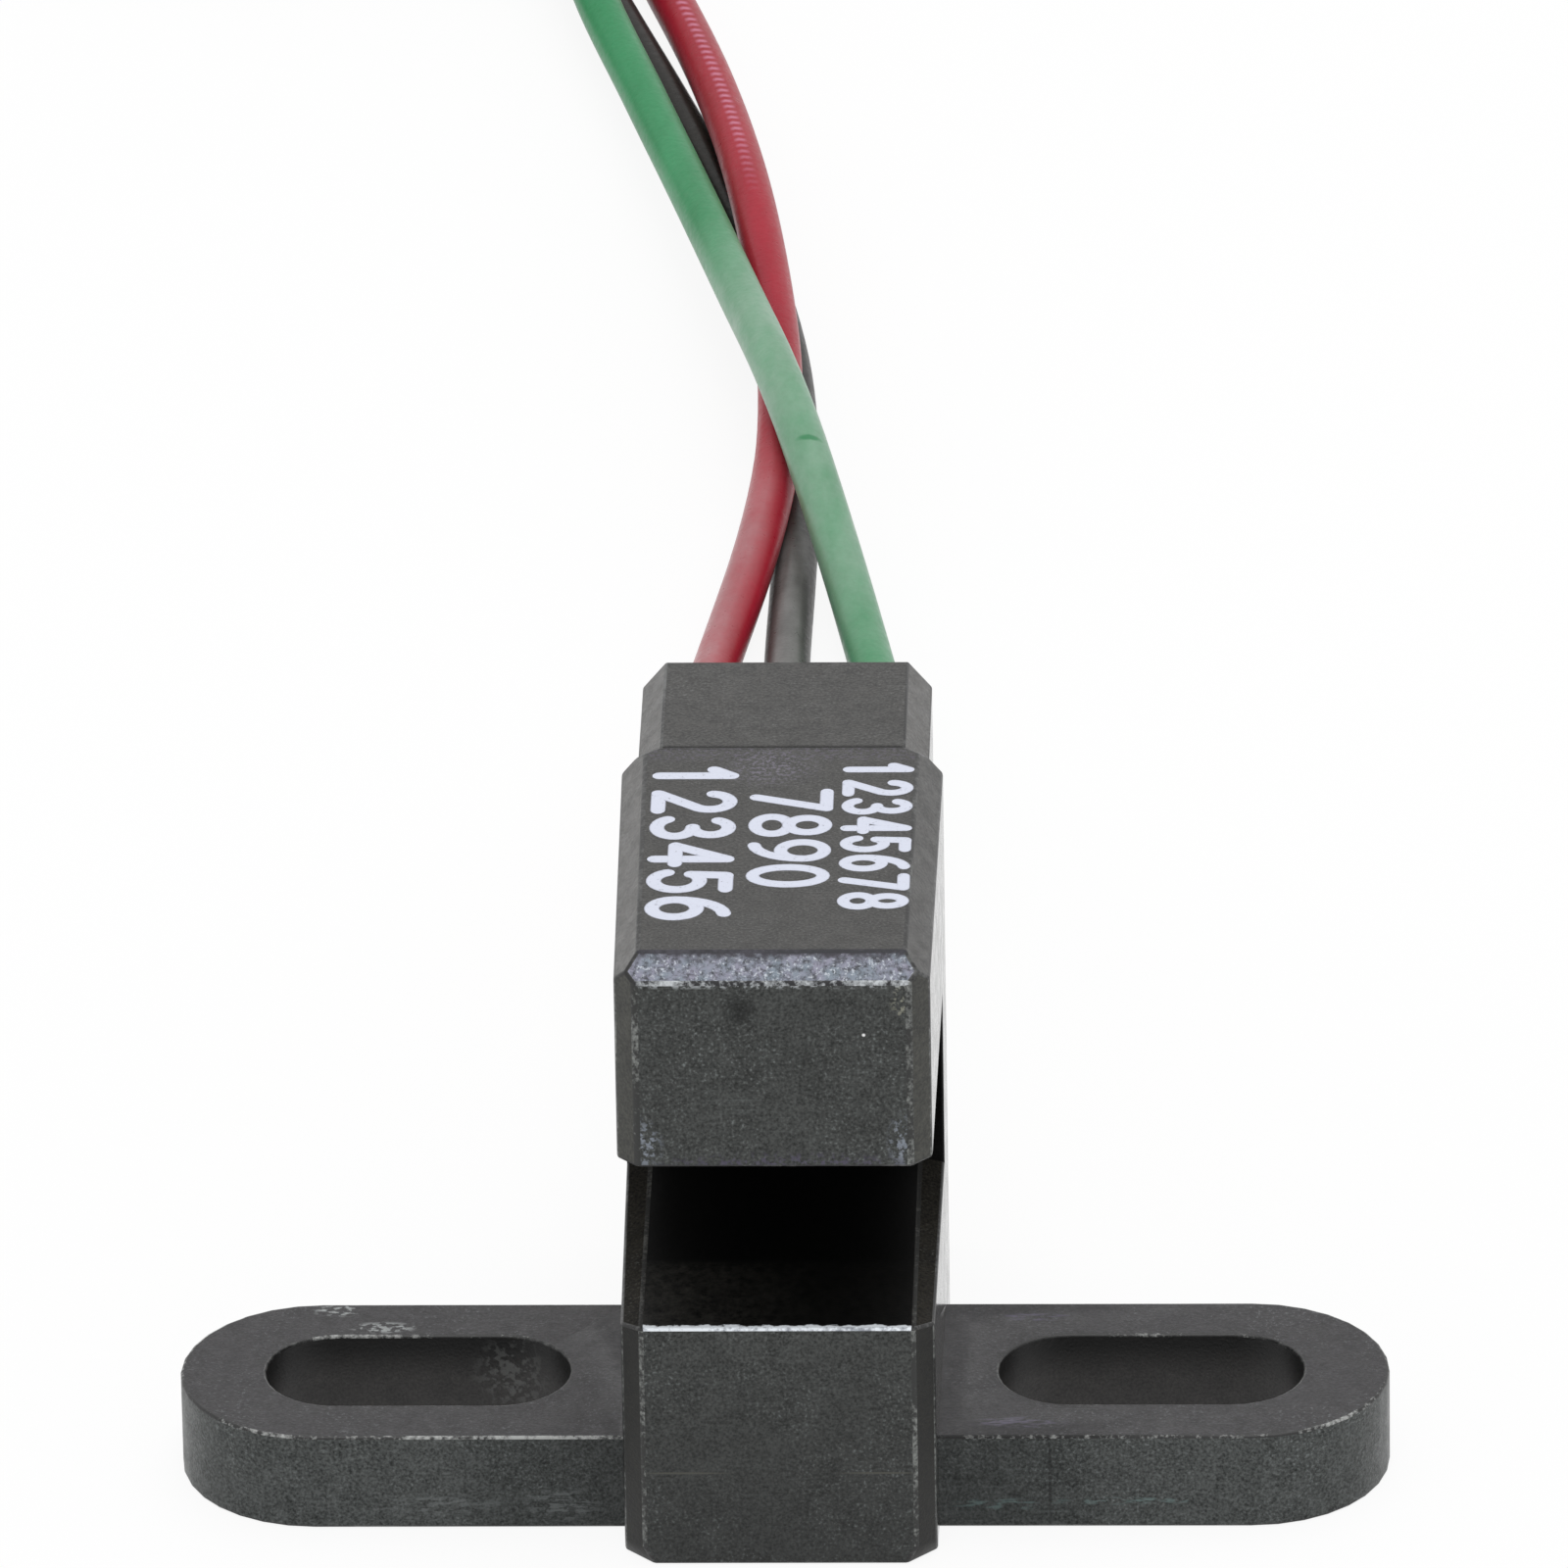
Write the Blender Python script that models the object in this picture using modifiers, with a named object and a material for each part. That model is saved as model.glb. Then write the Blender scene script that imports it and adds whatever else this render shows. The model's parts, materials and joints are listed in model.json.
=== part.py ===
"""Hall effect vane sensor: a forked housing with two slotted ears, a rear cap and three wire leads.

Metres, +Z up. The vane slot opens towards -Y, the ears point along X and the leads leave at +Y.
The origin is the middle of the flat base, without the leads.
"""

import math

import bmesh
import bpy
from mathutils import Matrix, Vector

MM = 0.001

# Clearances
FIT = 0.05 * MM  # between a piece and what it seats in or on
TIE_FIT = 0.08 * MM  # between the tie and the coil, which curves inside it
FLOOR_GAP = 0.01 * MM
OVERCUT = 1.0 * MM  # how far a cutter passes the face that it opens

# Housing: its front is narrower than its seam by the draft of the mould
FRONT_WIDTH = 6.52 * MM
SEAM_WIDTH = 6.74 * MM
HOUSING_LENGTH = 9.67 * MM
HOUSING_HEIGHT = 14.2 * MM
LOWER_ARM_HEIGHT = 5.6 * MM
VANE_GAP = 3.8 * MM
VANE_DEPTH = 7.5 * MM
CHAMFER_WIDTH = 0.5 * MM  # along the top edges
CHAMFER_DEPTH = 0.6 * MM
CORNER_CHAMFER = 0.42 * MM  # up the front corners and along the vane gap's lower edges
GAP_EDGE_DROP = 0.1 * MM  # how far the vane gap's floor falls across that chamfer
SEAM_CORNER = 0.3 * MM  # cut off the top's corners at the seam
BASE_CORNER = 0.2 * MM  # cut off the front corners further, at the base

# Ears, one plate with round ends and a slot at each end
EAR_SPAN = 25.4 * MM
EAR_DEPTH = 5.8 * MM
EAR_THICKNESS = 2.17 * MM
EAR_SETBACK = 1.57 * MM
EAR_SLOT_WIDTH = 3.0 * MM
EAR_END_WALL = 1.8 * MM  # from a slot to the ear's round end
EAR_ROOT_WALL = 1.13 * MM  # from a slot to the housing's side

# Pockets inside the arms, open at the seam
POCKET_WIDTH = 4.8 * MM
POCKET_FRONT_WALL = 1.2 * MM
GAP_WALL = 0.7 * MM  # between a pocket and the vane gap

# Chip with its legs, and the pole piece over it
CHIP_WIDTH = 4.1 * MM
CHIP_LENGTH = 3.0 * MM
CHIP_THICKNESS = 1.5 * MM
CHIP_EDGE = 0.2 * MM
LEG_PITCH = 1.27 * MM
LEG_WIDTH = 0.4 * MM
LEG_THICKNESS = 0.3 * MM
LEG_LENGTH = 2.5 * MM
POLE_WIDTH = 4.0 * MM
POLE_THICKNESS = 0.8 * MM

# Magnet in the lower arm
MAGNET_WIDTH = 4.1 * MM
MAGNET_LENGTH = 4.0 * MM
MAGNET_THICKNESS = 2.0 * MM

# Leads
LEAD_DIAMETER = 1.04 * MM
LEAD_PITCH = 1.5 * MM
CONDUCTOR_DIAMETER = 0.5 * MM
LEG_LAP = 0.9 * MM  # how far a bared wire lies along its leg
SOLDER_LENGTH = 1.4 * MM
SOLDER_WIDTH = 1.2 * MM
SOLDER_HEIGHT = 1.3 * MM

# Rear cap, narrower and lower than the seam that it closes
CAP_LENGTH = 4.43 * MM
CAP_STEP = 0.31 * MM
CAP_DROP = 0.25 * MM
SPIGOT_LENGTH = 1.0 * MM
SPIGOT_ROOT = 0.8 * MM  # how deep the spigots run into the cap's block
WELL_DEPTH = 2.6 * MM
WELL_WIDTH = 5.0 * MM
WELL_HEIGHT = 2.4 * MM
POTTING_RECESS = 0.15 * MM

# Coil of the leads' far lengths, beyond what the leads' routes reach
COIL_CENTRE = Vector((-14.6 * MM, 78.6 * MM, 0))
COIL_TURN_RADIUS = 6.72 * MM
COIL_TURNS = 2.2
COIL_PITCH = 1.08 * MM
COIL_LEVELS = 3
COIL_SKIN = 0.04 * MM
COIL_CORNER = 0.3 * MM
TIE_THICKNESS = 0.15 * MM
TIE_WIDTH = 1.4 * MM
TIE_ANGLE = math.radians(160)
END_DIAMETER = 0.6 * MM
END_LENGTH = 2.6 * MM
END_INSET = 0.9 * MM  # from the coil's inner wall to the middle of a bare end
END_FIRST_ANGLE = math.radians(95)
END_ANGLE_STEP = math.radians(40)

# Mesh finenesses
WELD_DISTANCE = 0.001 * MM
SHARP_ANGLE = math.radians(35)
ROUND_SEGMENTS = 16
HOLE_SEGMENTS = 20
RING_STEPS = 40
LEAD_POINT_SPACING = 1.9 * MM

# Derived places
TOTAL_LENGTH = HOUSING_LENGTH + CAP_LENGTH
FRONT_Y = -TOTAL_LENGTH / 2
SEAM_Y = FRONT_Y + HOUSING_LENGTH
REAR_Y = FRONT_Y + TOTAL_LENGTH
EAR_Y = FRONT_Y + EAR_SETBACK + EAR_DEPTH / 2
EAR_SLOT_START = SEAM_WIDTH / 2 + EAR_ROOT_WALL
EAR_SLOT_END = EAR_SPAN / 2 - EAR_END_WALL
EAR_SLOT_LENGTH = EAR_SLOT_END - EAR_SLOT_START
EAR_SLOT_X = (EAR_SLOT_START + EAR_SLOT_END) / 2
POCKET_Y = FRONT_Y + POCKET_FRONT_WALL
CORE_Y = POCKET_Y + FIT
GAP_TOP = LOWER_ARM_HEIGHT + VANE_GAP
UPPER_POCKET_BASE = GAP_TOP + GAP_WALL
LOWER_POCKET_TOP = LOWER_ARM_HEIGHT - GAP_WALL
CHIP_BASE = UPPER_POCKET_BASE + FIT
UPPER_POLE_BASE = CHIP_BASE + CHIP_THICKNESS + FIT
UPPER_POCKET_TOP = UPPER_POLE_BASE + POLE_THICKNESS + FIT
MAGNET_BASE = LOWER_POCKET_TOP - FIT - MAGNET_THICKNESS
LOWER_POLE_BASE = MAGNET_BASE - FIT - POLE_THICKNESS
LOWER_POCKET_BASE = LOWER_POLE_BASE - FIT
LEG_Z = CHIP_BASE + CHIP_THICKNESS / 2
LEG_START_Y = CORE_Y + CHIP_LENGTH + FIT
LEG_END_Y = LEG_START_Y + LEG_LENGTH
LEAD_Z = LEG_Z + LEG_THICKNESS / 2 + FIT + CONDUCTOR_DIAMETER / 2
SPIGOT_Y = SEAM_Y - SPIGOT_LENGTH
LEAD_START_Y = SPIGOT_Y - FIT
WIRE_START_Y = LEG_END_Y - LEG_LAP
WIRE_LENGTH = LEAD_START_Y - FIT - WIRE_START_Y
SOLDER_Y = LEG_END_Y - LEG_LAP / 2
SOLDER_Z = (LEG_Z + LEAD_Z) / 2
CAP_WIDTH = SEAM_WIDTH - 2 * CAP_STEP
CAP_HEIGHT = HOUSING_HEIGHT - CAP_DROP
WELL_Y = REAR_Y - WELL_DEPTH
COIL_BASE = TIE_THICKNESS + TIE_FIT + FLOOR_GAP
COIL_TOP = COIL_BASE + LEAD_DIAMETER + (COIL_LEVELS - 1) * COIL_PITCH + 2 * COIL_SKIN
COIL_OUTER = COIL_TURN_RADIUS + LEAD_DIAMETER / 2 + COIL_SKIN
COIL_INNER = COIL_TURN_RADIUS - COIL_TURNS * COIL_PITCH - LEAD_DIAMETER / 2 - COIL_SKIN
END_RADIUS = COIL_INNER - END_INSET

# Each lead: its place across the body, its chip leg, its coil level, its colour and its route
# past the straight stretch behind the body, in millimetres
LEADS = {
    "red": {
        "side": -1,
        "leg": "chip_leg_supply",
        "level": 1,
        "colour": (0.45, 0.03, 0.05),
        "route": [
            (-1.77, 12.5, 10.5), (-2.37, 17.5, 7.3), (-2.84, 22.5, 3.8), (-2.9, 27.5, 1.5),
            (-2.31, 33.5, 0.7), (-1.58, 37.8, 1.25), (-1.24, 41.3, 1.6), (-1.26, 45.4, 1.74),
            (-1.6, 50.0, 1.74), (-2.3, 56.1, 1.63), (-3.29, 62.4, 1.15), (-4.55, 68.2, 0.8),
            (-5.7, 72.0, 1.05), (-6.95, 75.2, 1.6),
        ],
    },
    "black": {
        "side": 0,
        "leg": "chip_leg_ground",
        "level": 0,
        "colour": (0.02, 0.02, 0.02),
        "route": [
            (-0.1, 12.5, 10.5), (-0.34, 17.5, 7.3), (-0.58, 22.5, 3.8), (-0.75, 27.5, 1.5),
            (-0.82, 33.5, 0.6), (-0.78, 38.0, 0.55), (-0.8, 42.0, 0.55), (-1.04, 47.1, 0.55),
            (-1.39, 50.2, 0.55), (-1.95, 53.3, 0.55), (-3.23, 58.6, 0.55), (-4.4, 62.8, 0.55),
            (-6.0, 68.3, 0.6), (-7.0, 72.0, 0.7), (-7.6, 74.6, 0.8),
        ],
    },
    "green": {
        "side": 1,
        "leg": "chip_leg_signal",
        "level": 2,
        "colour": (0.05, 0.35, 0.15),
        "route": [
            (1.59, 12.5, 10.5), (1.76, 17.5, 7.3), (1.83, 22.5, 3.9), (1.64, 27.5, 1.7),
            (1.04, 33.0, 0.82), (0.37, 36.6, 1.3), (-0.37, 39.7, 2.2), (-0.79, 41.4, 2.62),
            (-1.34, 43.8, 2.82), (-2.22, 48.2, 2.45), (-3.53, 55.0, 1.75), (-4.87, 61.0, 1.5),
            (-6.26, 66.7, 1.6), (-7.2, 71.2, 2.3), (-7.75, 74.2, 2.75),
        ],
    },
}


def clear_scene():
    for obj in list(bpy.data.objects):
        bpy.data.objects.remove(obj)


def new_collection(name):
    collection = bpy.data.collections.new(name)
    bpy.context.scene.collection.children.link(collection)
    return collection


def material(name, colour, roughness, metallic=0.0):
    made = bpy.data.materials.new(name)
    made.use_nodes = True
    shader = made.node_tree.nodes["Principled BSDF"]
    shader.inputs["Base Color"].default_value = (*colour, 1.0)
    shader.inputs["Roughness"].default_value = roughness
    shader.inputs["Metallic"].default_value = metallic
    return made


def add_object(name, mesh, collection, surface=None):
    obj = bpy.data.objects.new(name, mesh)
    collection.objects.link(obj)
    if surface:
        mesh.materials.append(surface)
    return obj


def add_cutter(name, mesh):
    obj = add_object(name, mesh, CUTTERS)
    obj.hide_render = True
    obj.display_type = "WIRE"
    return obj


def mesh_from(bm, name):
    bmesh.ops.recalc_face_normals(bm, faces=bm.faces)
    mesh = bpy.data.meshes.new(name)
    bm.to_mesh(mesh)
    bm.free()
    return mesh


def box(name, width, low_y, high_y, low_z, high_z):
    """A box centred across the body, between two planes along Y and two along Z."""
    bm = bmesh.new()
    bmesh.ops.create_cube(bm, size=1)
    bmesh.ops.scale(bm, vec=(width, high_y - low_y, high_z - low_z), verts=bm.verts)
    bmesh.ops.translate(bm, vec=(0, (low_y + high_y) / 2, (low_z + high_z) / 2), verts=bm.verts)
    return mesh_from(bm, name)


def rod(name, diameter, length, segments):
    """A cylinder along Y, from its own origin backwards."""
    bm = bmesh.new()
    turn = Matrix.Rotation(math.radians(-90), 4, "X") @ Matrix.Translation((0, 0, length / 2))
    bmesh.ops.create_cone(
        bm, cap_ends=True, segments=segments, radius1=diameter / 2, radius2=diameter / 2,
        depth=length, matrix=turn,
    )
    return mesh_from(bm, name)


def stadium(name, length, width, low_z, high_z):
    """A plate along X with full round ends, from a flat outline."""
    reach = (length - width) / 2
    points = []
    for side in (1, -1):
        for step in range(ROUND_SEGMENTS + 1):
            angle = math.radians(-90) + math.pi * step / ROUND_SEGMENTS
            x = reach + width / 2 * math.cos(angle)
            y = width / 2 * math.sin(angle)
            points.append((side * x, side * y))
    curve = bpy.data.curves.new(name, "CURVE")
    curve.dimensions = "2D"
    curve.fill_mode = "BOTH"
    curve.extrude = (high_z - low_z) / 2
    spline = curve.splines.new("POLY")
    spline.points.add(len(points) - 1)
    for point, (x, y) in zip(spline.points, points):
        point.co = (x, y, 0, 1)
    spline.use_cyclic_u = True
    mesh = solid_from_curve(name, curve)
    mesh.transform(Matrix.Translation((0, 0, (low_z + high_z) / 2)))
    return mesh


def solid_from_curve(name, curve):
    """The curve's evaluated mesh with its caps welded on."""
    guide = bpy.data.objects.new(name + "_outline", curve)
    CUTTERS.objects.link(guide)
    graph = bpy.context.evaluated_depsgraph_get()
    mesh = bpy.data.meshes.new_from_object(guide.evaluated_get(graph))
    bpy.data.objects.remove(guide)
    bm = bmesh.new()
    bm.from_mesh(mesh)
    bmesh.ops.remove_doubles(bm, verts=bm.verts, dist=WELD_DISTANCE)
    bmesh.ops.recalc_face_normals(bm, faces=bm.faces)
    bm.to_mesh(mesh)
    bm.free()
    return mesh


def boolean(obj, other, operation):
    modifier = obj.modifiers.new(other.name, "BOOLEAN")
    modifier.operation = operation
    modifier.object = other
    modifier.solver = "EXACT"


def slice_off(bm, point, normal):
    """Cut away what lies beyond the plane and close the cut with one face."""
    whole = bm.verts[:] + bm.edges[:] + bm.faces[:]
    cut = bmesh.ops.bisect_plane(bm, geom=whole, plane_co=point, plane_no=normal, clear_outer=True)
    rim = [item for item in cut["geom_cut"] if isinstance(item, bmesh.types.BMEdge)]
    bmesh.ops.contextual_create(bm, geom=rim)


def block(name, front_width, rear_width, low_y, high_y, height, is_housing):
    """An upright block whose chamfer planes meet in points at its corners."""
    bm = bmesh.new()
    bmesh.ops.create_cube(bm, size=1)
    for vert in bm.verts:
        width = rear_width if vert.co.y > 0 else front_width
        y = high_y if vert.co.y > 0 else low_y
        z = height if vert.co.z > 0 else 0.0
        vert.co = (math.copysign(width / 2, vert.co.x), y, z)
    slant = Vector(((rear_width - front_width) / 2, high_y - low_y, 0))
    for side in (1, -1):
        along = Vector((side * slant.x, slant.y, 0))
        across = Vector((side * CHAMFER_WIDTH, 0, -CHAMFER_DEPTH))
        normal = side * along.cross(across)
        slice_off(bm, (side * (front_width / 2 - CHAMFER_WIDTH), low_y, height), -normal)
        if is_housing:
            corner = (side * (front_width / 2 - CORNER_CHAMFER), low_y, 0)
            slice_off(bm, corner, (side, -1, 0))
            corner = (side * (front_width / 2 - CORNER_CHAMFER - BASE_CORNER), low_y, 0)
            slice_off(bm, corner, (2 * side, -2, -1))
            corner = (side * (rear_width / 2 - CHAMFER_WIDTH - SEAM_CORNER), high_y, height)
            slice_off(bm, corner, (side, 1, 2))
    if is_housing:
        slice_off(bm, (0, low_y, height - CHAMFER_WIDTH), (0, -1, 1))
    return mesh_from(bm, name)


def gap_cutter():
    """The vane gap's space, whose floor falls a little along the lower arm's upper edges."""
    half = FRONT_WIDTH / 2 - CORNER_CHAMFER
    reach = SEAM_WIDTH / 2 + OVERCUT
    low = LOWER_ARM_HEIGHT - (reach - half) * GAP_EDGE_DROP / CORNER_CHAMFER
    outline = [
        (-half, LOWER_ARM_HEIGHT), (half, LOWER_ARM_HEIGHT), (reach, low),
        (reach, GAP_TOP), (-reach, GAP_TOP), (-reach, low),
    ]
    bm = bmesh.new()
    front = bm.faces.new([bm.verts.new((x, FRONT_Y - OVERCUT, z)) for x, z in outline])
    grown = bmesh.ops.extrude_face_region(bm, geom=[front])
    moved = [item for item in grown["geom"] if isinstance(item, bmesh.types.BMVert)]
    bmesh.ops.translate(bm, vec=(0, VANE_DEPTH + OVERCUT, 0), verts=moved)
    return add_cutter("vane_gap", mesh_from(bm, "vane_gap"))


def build_housing(surface):
    mesh = block("housing", FRONT_WIDTH, SEAM_WIDTH, FRONT_Y, SEAM_Y, HOUSING_HEIGHT, True)
    housing = add_object("housing", mesh, SENSOR, surface)
    ears = add_cutter("ear_plate", stadium("ear_plate", EAR_SPAN, EAR_DEPTH, 0, EAR_THICKNESS))
    ears.location.y = EAR_Y
    boolean(housing, ears, "UNION")
    boolean(housing, gap_cutter(), "DIFFERENCE")
    open_y = SEAM_Y + OVERCUT
    upper = box("upper_pocket", POCKET_WIDTH, POCKET_Y, open_y, UPPER_POCKET_BASE, UPPER_POCKET_TOP)
    boolean(housing, add_cutter("upper_pocket", upper), "DIFFERENCE")
    lower = box("lower_pocket", POCKET_WIDTH, POCKET_Y, open_y, LOWER_POCKET_BASE, LOWER_POCKET_TOP)
    boolean(housing, add_cutter("lower_pocket", lower), "DIFFERENCE")
    for side, word in ((-1, "left"), (1, "right")):
        name = word + "_ear_slot"
        mesh = stadium(name, EAR_SLOT_LENGTH, EAR_SLOT_WIDTH, -OVERCUT, EAR_THICKNESS + OVERCUT)
        slot = add_cutter(name, mesh)
        slot.location = (side * EAR_SLOT_X, EAR_Y, 0)
        boolean(housing, slot, "DIFFERENCE")


def build_rear_cap(surface):
    mesh = block("rear_cap", CAP_WIDTH, CAP_WIDTH, SEAM_Y + FIT, REAR_Y, CAP_HEIGHT, False)
    cap = add_object("rear_cap", mesh, SENSOR, surface)
    spigot_width = POCKET_WIDTH - 2 * FIT
    root_y = SEAM_Y + SPIGOT_ROOT
    base, top = UPPER_POCKET_BASE + FIT, UPPER_POCKET_TOP - FIT
    upper = box("upper_spigot", spigot_width, SPIGOT_Y, root_y, base, top)
    boolean(cap, add_cutter("upper_spigot", upper), "UNION")
    tongue_y = CORE_Y + MAGNET_LENGTH + FIT
    base, top = LOWER_POCKET_BASE + FIT, LOWER_POCKET_TOP - FIT
    lower = box("lower_tongue", spigot_width, tongue_y, root_y, base, top)
    boolean(cap, add_cutter("lower_tongue", lower), "UNION")
    base, top = LEAD_Z - WELL_HEIGHT / 2, LEAD_Z + WELL_HEIGHT / 2
    well = box("well", WELL_WIDTH, WELL_Y, REAR_Y + OVERCUT, base, top)
    boolean(cap, add_cutter("well", well), "DIFFERENCE")
    for colour, lead in LEADS.items():
        boolean(cap, lead_hole(colour, lead), "DIFFERENCE")


def lead_hole(colour, lead):
    """A cutter for one lead's hole, from inside the housing to past the rear face."""
    name = colour + "_lead_hole"
    if name in bpy.data.objects:
        return bpy.data.objects[name]
    length = REAR_Y + OVERCUT - LEAD_START_Y
    hole = add_cutter(name, rod(name, LEAD_DIAMETER + 2 * FIT, length, HOLE_SEGMENTS))
    hole.location = (lead["side"] * LEAD_PITCH, LEAD_START_Y, LEAD_Z)
    return hole


def build_potting(surface):
    width = WELL_WIDTH - 2 * FIT
    half = WELL_HEIGHT / 2 - FIT
    mesh = box("potting", width, WELL_Y + FIT, REAR_Y - POTTING_RECESS, LEAD_Z - half, LEAD_Z + half)
    potting = add_object("potting", mesh, SENSOR, surface)
    for colour, lead in LEADS.items():
        boolean(potting, lead_hole(colour, lead), "DIFFERENCE")


def build_chip(surface):
    mesh = box("hall_chip", CHIP_WIDTH, CORE_Y, CORE_Y + CHIP_LENGTH, CHIP_BASE, CHIP_BASE + CHIP_THICKNESS)
    chip = add_object("hall_chip", mesh, SENSOR, surface)
    bevel = chip.modifiers.new("Edges", "BEVEL")
    bevel.width = CHIP_EDGE
    bevel.segments = 1


def build_poles_and_magnet(steel, magnetic):
    top = UPPER_POLE_BASE + POLE_THICKNESS
    upper = box("upper_pole_piece", POLE_WIDTH, CORE_Y, CORE_Y + CHIP_LENGTH, UPPER_POLE_BASE, top)
    add_object("upper_pole_piece", upper, SENSOR, steel)
    end_y = CORE_Y + MAGNET_LENGTH
    top = LOWER_POLE_BASE + POLE_THICKNESS
    lower = box("lower_pole_piece", POLE_WIDTH, CORE_Y, end_y, LOWER_POLE_BASE, top)
    add_object("lower_pole_piece", lower, SENSOR, steel)
    magnet = box("magnet", MAGNET_WIDTH, CORE_Y, end_y, MAGNET_BASE, MAGNET_BASE + MAGNET_THICKNESS)
    add_object("magnet", magnet, SENSOR, magnetic)


def build_leg(lead, surface):
    name = lead["leg"]
    low, high = LEG_Z - LEG_THICKNESS / 2, LEG_Z + LEG_THICKNESS / 2
    leg = add_object(name, box(name, LEG_WIDTH, LEG_START_Y, LEG_END_Y, low, high), SENSOR, surface)
    leg.location.x = lead["side"] * LEG_PITCH
    room_width = LEG_WIDTH + 2 * FIT
    room = box(name + "_room", room_width, LEG_START_Y, LEG_END_Y + FIT, low - FIT, high + FIT)
    cutter = add_cutter(name + "_room", room)
    cutter.location = leg.location
    return cutter


def build_inner_wire(colour, lead, surface):
    name = colour + "_inner_wire"
    mesh = rod(name, CONDUCTOR_DIAMETER, WIRE_LENGTH, ROUND_SEGMENTS)
    wire = add_object(name, mesh, SENSOR, surface)
    wire.location = (lead["side"] * LEAD_PITCH, WIRE_START_Y, LEAD_Z)
    room = rod(name + "_room", CONDUCTOR_DIAMETER + 2 * FIT, WIRE_LENGTH + FIT, ROUND_SEGMENTS)
    cutter = add_cutter(name + "_room", room)
    cutter.location = wire.location - Vector((0, FIT, 0))
    return cutter


def build_solder(colour, lead, rooms, surface):
    """A blob of solder around the end of a leg and the bared wire on it."""
    name = "solder_joint_" + colour
    bm = bmesh.new()
    bmesh.ops.create_uvsphere(bm, u_segments=ROUND_SEGMENTS, v_segments=ROUND_SEGMENTS // 2, radius=0.5)
    bmesh.ops.scale(bm, vec=(SOLDER_WIDTH, SOLDER_LENGTH, SOLDER_HEIGHT), verts=bm.verts)
    solder = add_object(name, mesh_from(bm, name), SENSOR, surface)
    solder.location = (lead["side"] * (LEG_PITCH + LEAD_PITCH) / 2, SOLDER_Y, SOLDER_Z)
    for room in rooms:
        boolean(solder, room, "DIFFERENCE")


def smooth_path(points, spacing):
    """Points about a spacing apart on a smooth curve through the given ones (centripetal Catmull-Rom)."""
    points = [Vector(point) for point in points]
    points = [2 * points[0] - points[1]] + points + [2 * points[-1] - points[-2]]
    path = []
    for index in range(1, len(points) - 2):
        near = points[index - 1:index + 3]
        knots = [0.0]
        for first, second in zip(near, near[1:]):
            knots.append(knots[-1] + math.sqrt((second - first).length))
        count = max(1, round((near[2] - near[1]).length / spacing))
        for step in range(count):
            knot = knots[1] + (knots[2] - knots[1]) * step / count
            path.append(catmull_rom(near, knots, knot))
    path.append(points[-2])
    return path


def catmull_rom(near, knots, knot):
    """The curve's point at a knot between the middle two of four near points."""
    first = [
        near[i].lerp(near[i + 1], (knot - knots[i]) / (knots[i + 1] - knots[i]))
        for i in range(3)
    ]
    second = [
        first[i].lerp(first[i + 1], (knot - knots[i]) / (knots[i + 2] - knots[i]))
        for i in range(2)
    ]
    return second[0].lerp(second[1], (knot - knots[1]) / (knots[2] - knots[1]))


def lead_path(lead):
    """The lead's centreline from inside the cap to where it meets the coil."""
    x = lead["side"] * LEAD_PITCH
    free_y = REAR_Y + 2 * LEAD_DIAMETER
    straight = [(x, LEAD_START_Y, LEAD_Z), (x, REAR_Y, LEAD_Z), (x, free_y, LEAD_Z)]
    route = [(x * MM, y * MM, z * MM) for x, y, z in lead["route"]]
    path = smooth_path(straight + route, LEAD_POINT_SPACING)
    lowest = LEAD_DIAMETER / 2 + FLOOR_GAP
    for point in path:
        point.z = max(point.z, lowest)
    return path


def build_lead(colour, lead, surface):
    name = colour + "_lead"
    curve = bpy.data.curves.new(name, "CURVE")
    curve.dimensions = "3D"
    curve.bevel_depth = LEAD_DIAMETER / 2
    curve.bevel_resolution = 2
    curve.use_fill_caps = True
    path = lead_path(lead)
    spline = curve.splines.new("POLY")
    spline.points.add(len(path) - 1)
    for point, place in zip(spline.points, path):
        point.co = (*place, 1)
    add_object(name, curve, SENSOR, surface)


def build_coil(surface):
    """The outer shape of the coiled lengths, as a turned ring."""
    low, high, cut = COIL_BASE, COIL_TOP, COIL_CORNER
    profile = [
        (COIL_INNER + cut, high), (COIL_OUTER - cut, high),
        (COIL_OUTER, high - cut), (COIL_OUTER, low + cut),
        (COIL_OUTER - cut, low), (COIL_INNER + cut, low), (COIL_INNER, low + cut), (COIL_INNER, high - cut),
    ]
    bm = bmesh.new()
    verts = [bm.verts.new((radius, 0, z)) for radius, z in profile]
    for first, second in zip(verts, verts[1:] + verts[:1]):
        bm.edges.new((first, second))
    mesh = bpy.data.meshes.new("lead_coil")
    bm.to_mesh(mesh)
    bm.free()
    ring = add_object("lead_coil", mesh, SENSOR, surface)
    ring.location = COIL_CENTRE
    screw = ring.modifiers.new("Turned", "SCREW")
    screw.steps = RING_STEPS
    screw.render_steps = RING_STEPS
    screw.use_merge_vertices = True
    screw.merge_threshold = WELD_DISTANCE


def build_tie(surface):
    """A band around the coil's section."""
    inner = [COIL_INNER - TIE_FIT, COIL_OUTER + TIE_FIT]
    outer = [inner[0] - TIE_THICKNESS, inner[1] + TIE_THICKNESS]
    low, high = COIL_BASE - TIE_FIT, COIL_TOP + TIE_FIT
    band = box("coil_tie", TIE_WIDTH, *outer, low - TIE_THICKNESS, high + TIE_THICKNESS)
    tie = add_object("coil_tie", band, SENSOR, surface)
    room = add_cutter("tie_room", box("tie_room", 2 * TIE_WIDTH, *inner, low, high))
    for obj in (tie, room):
        obj.location = COIL_CENTRE
        obj.rotation_euler.z = TIE_ANGLE
    boolean(tie, room, "DIFFERENCE")


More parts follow.
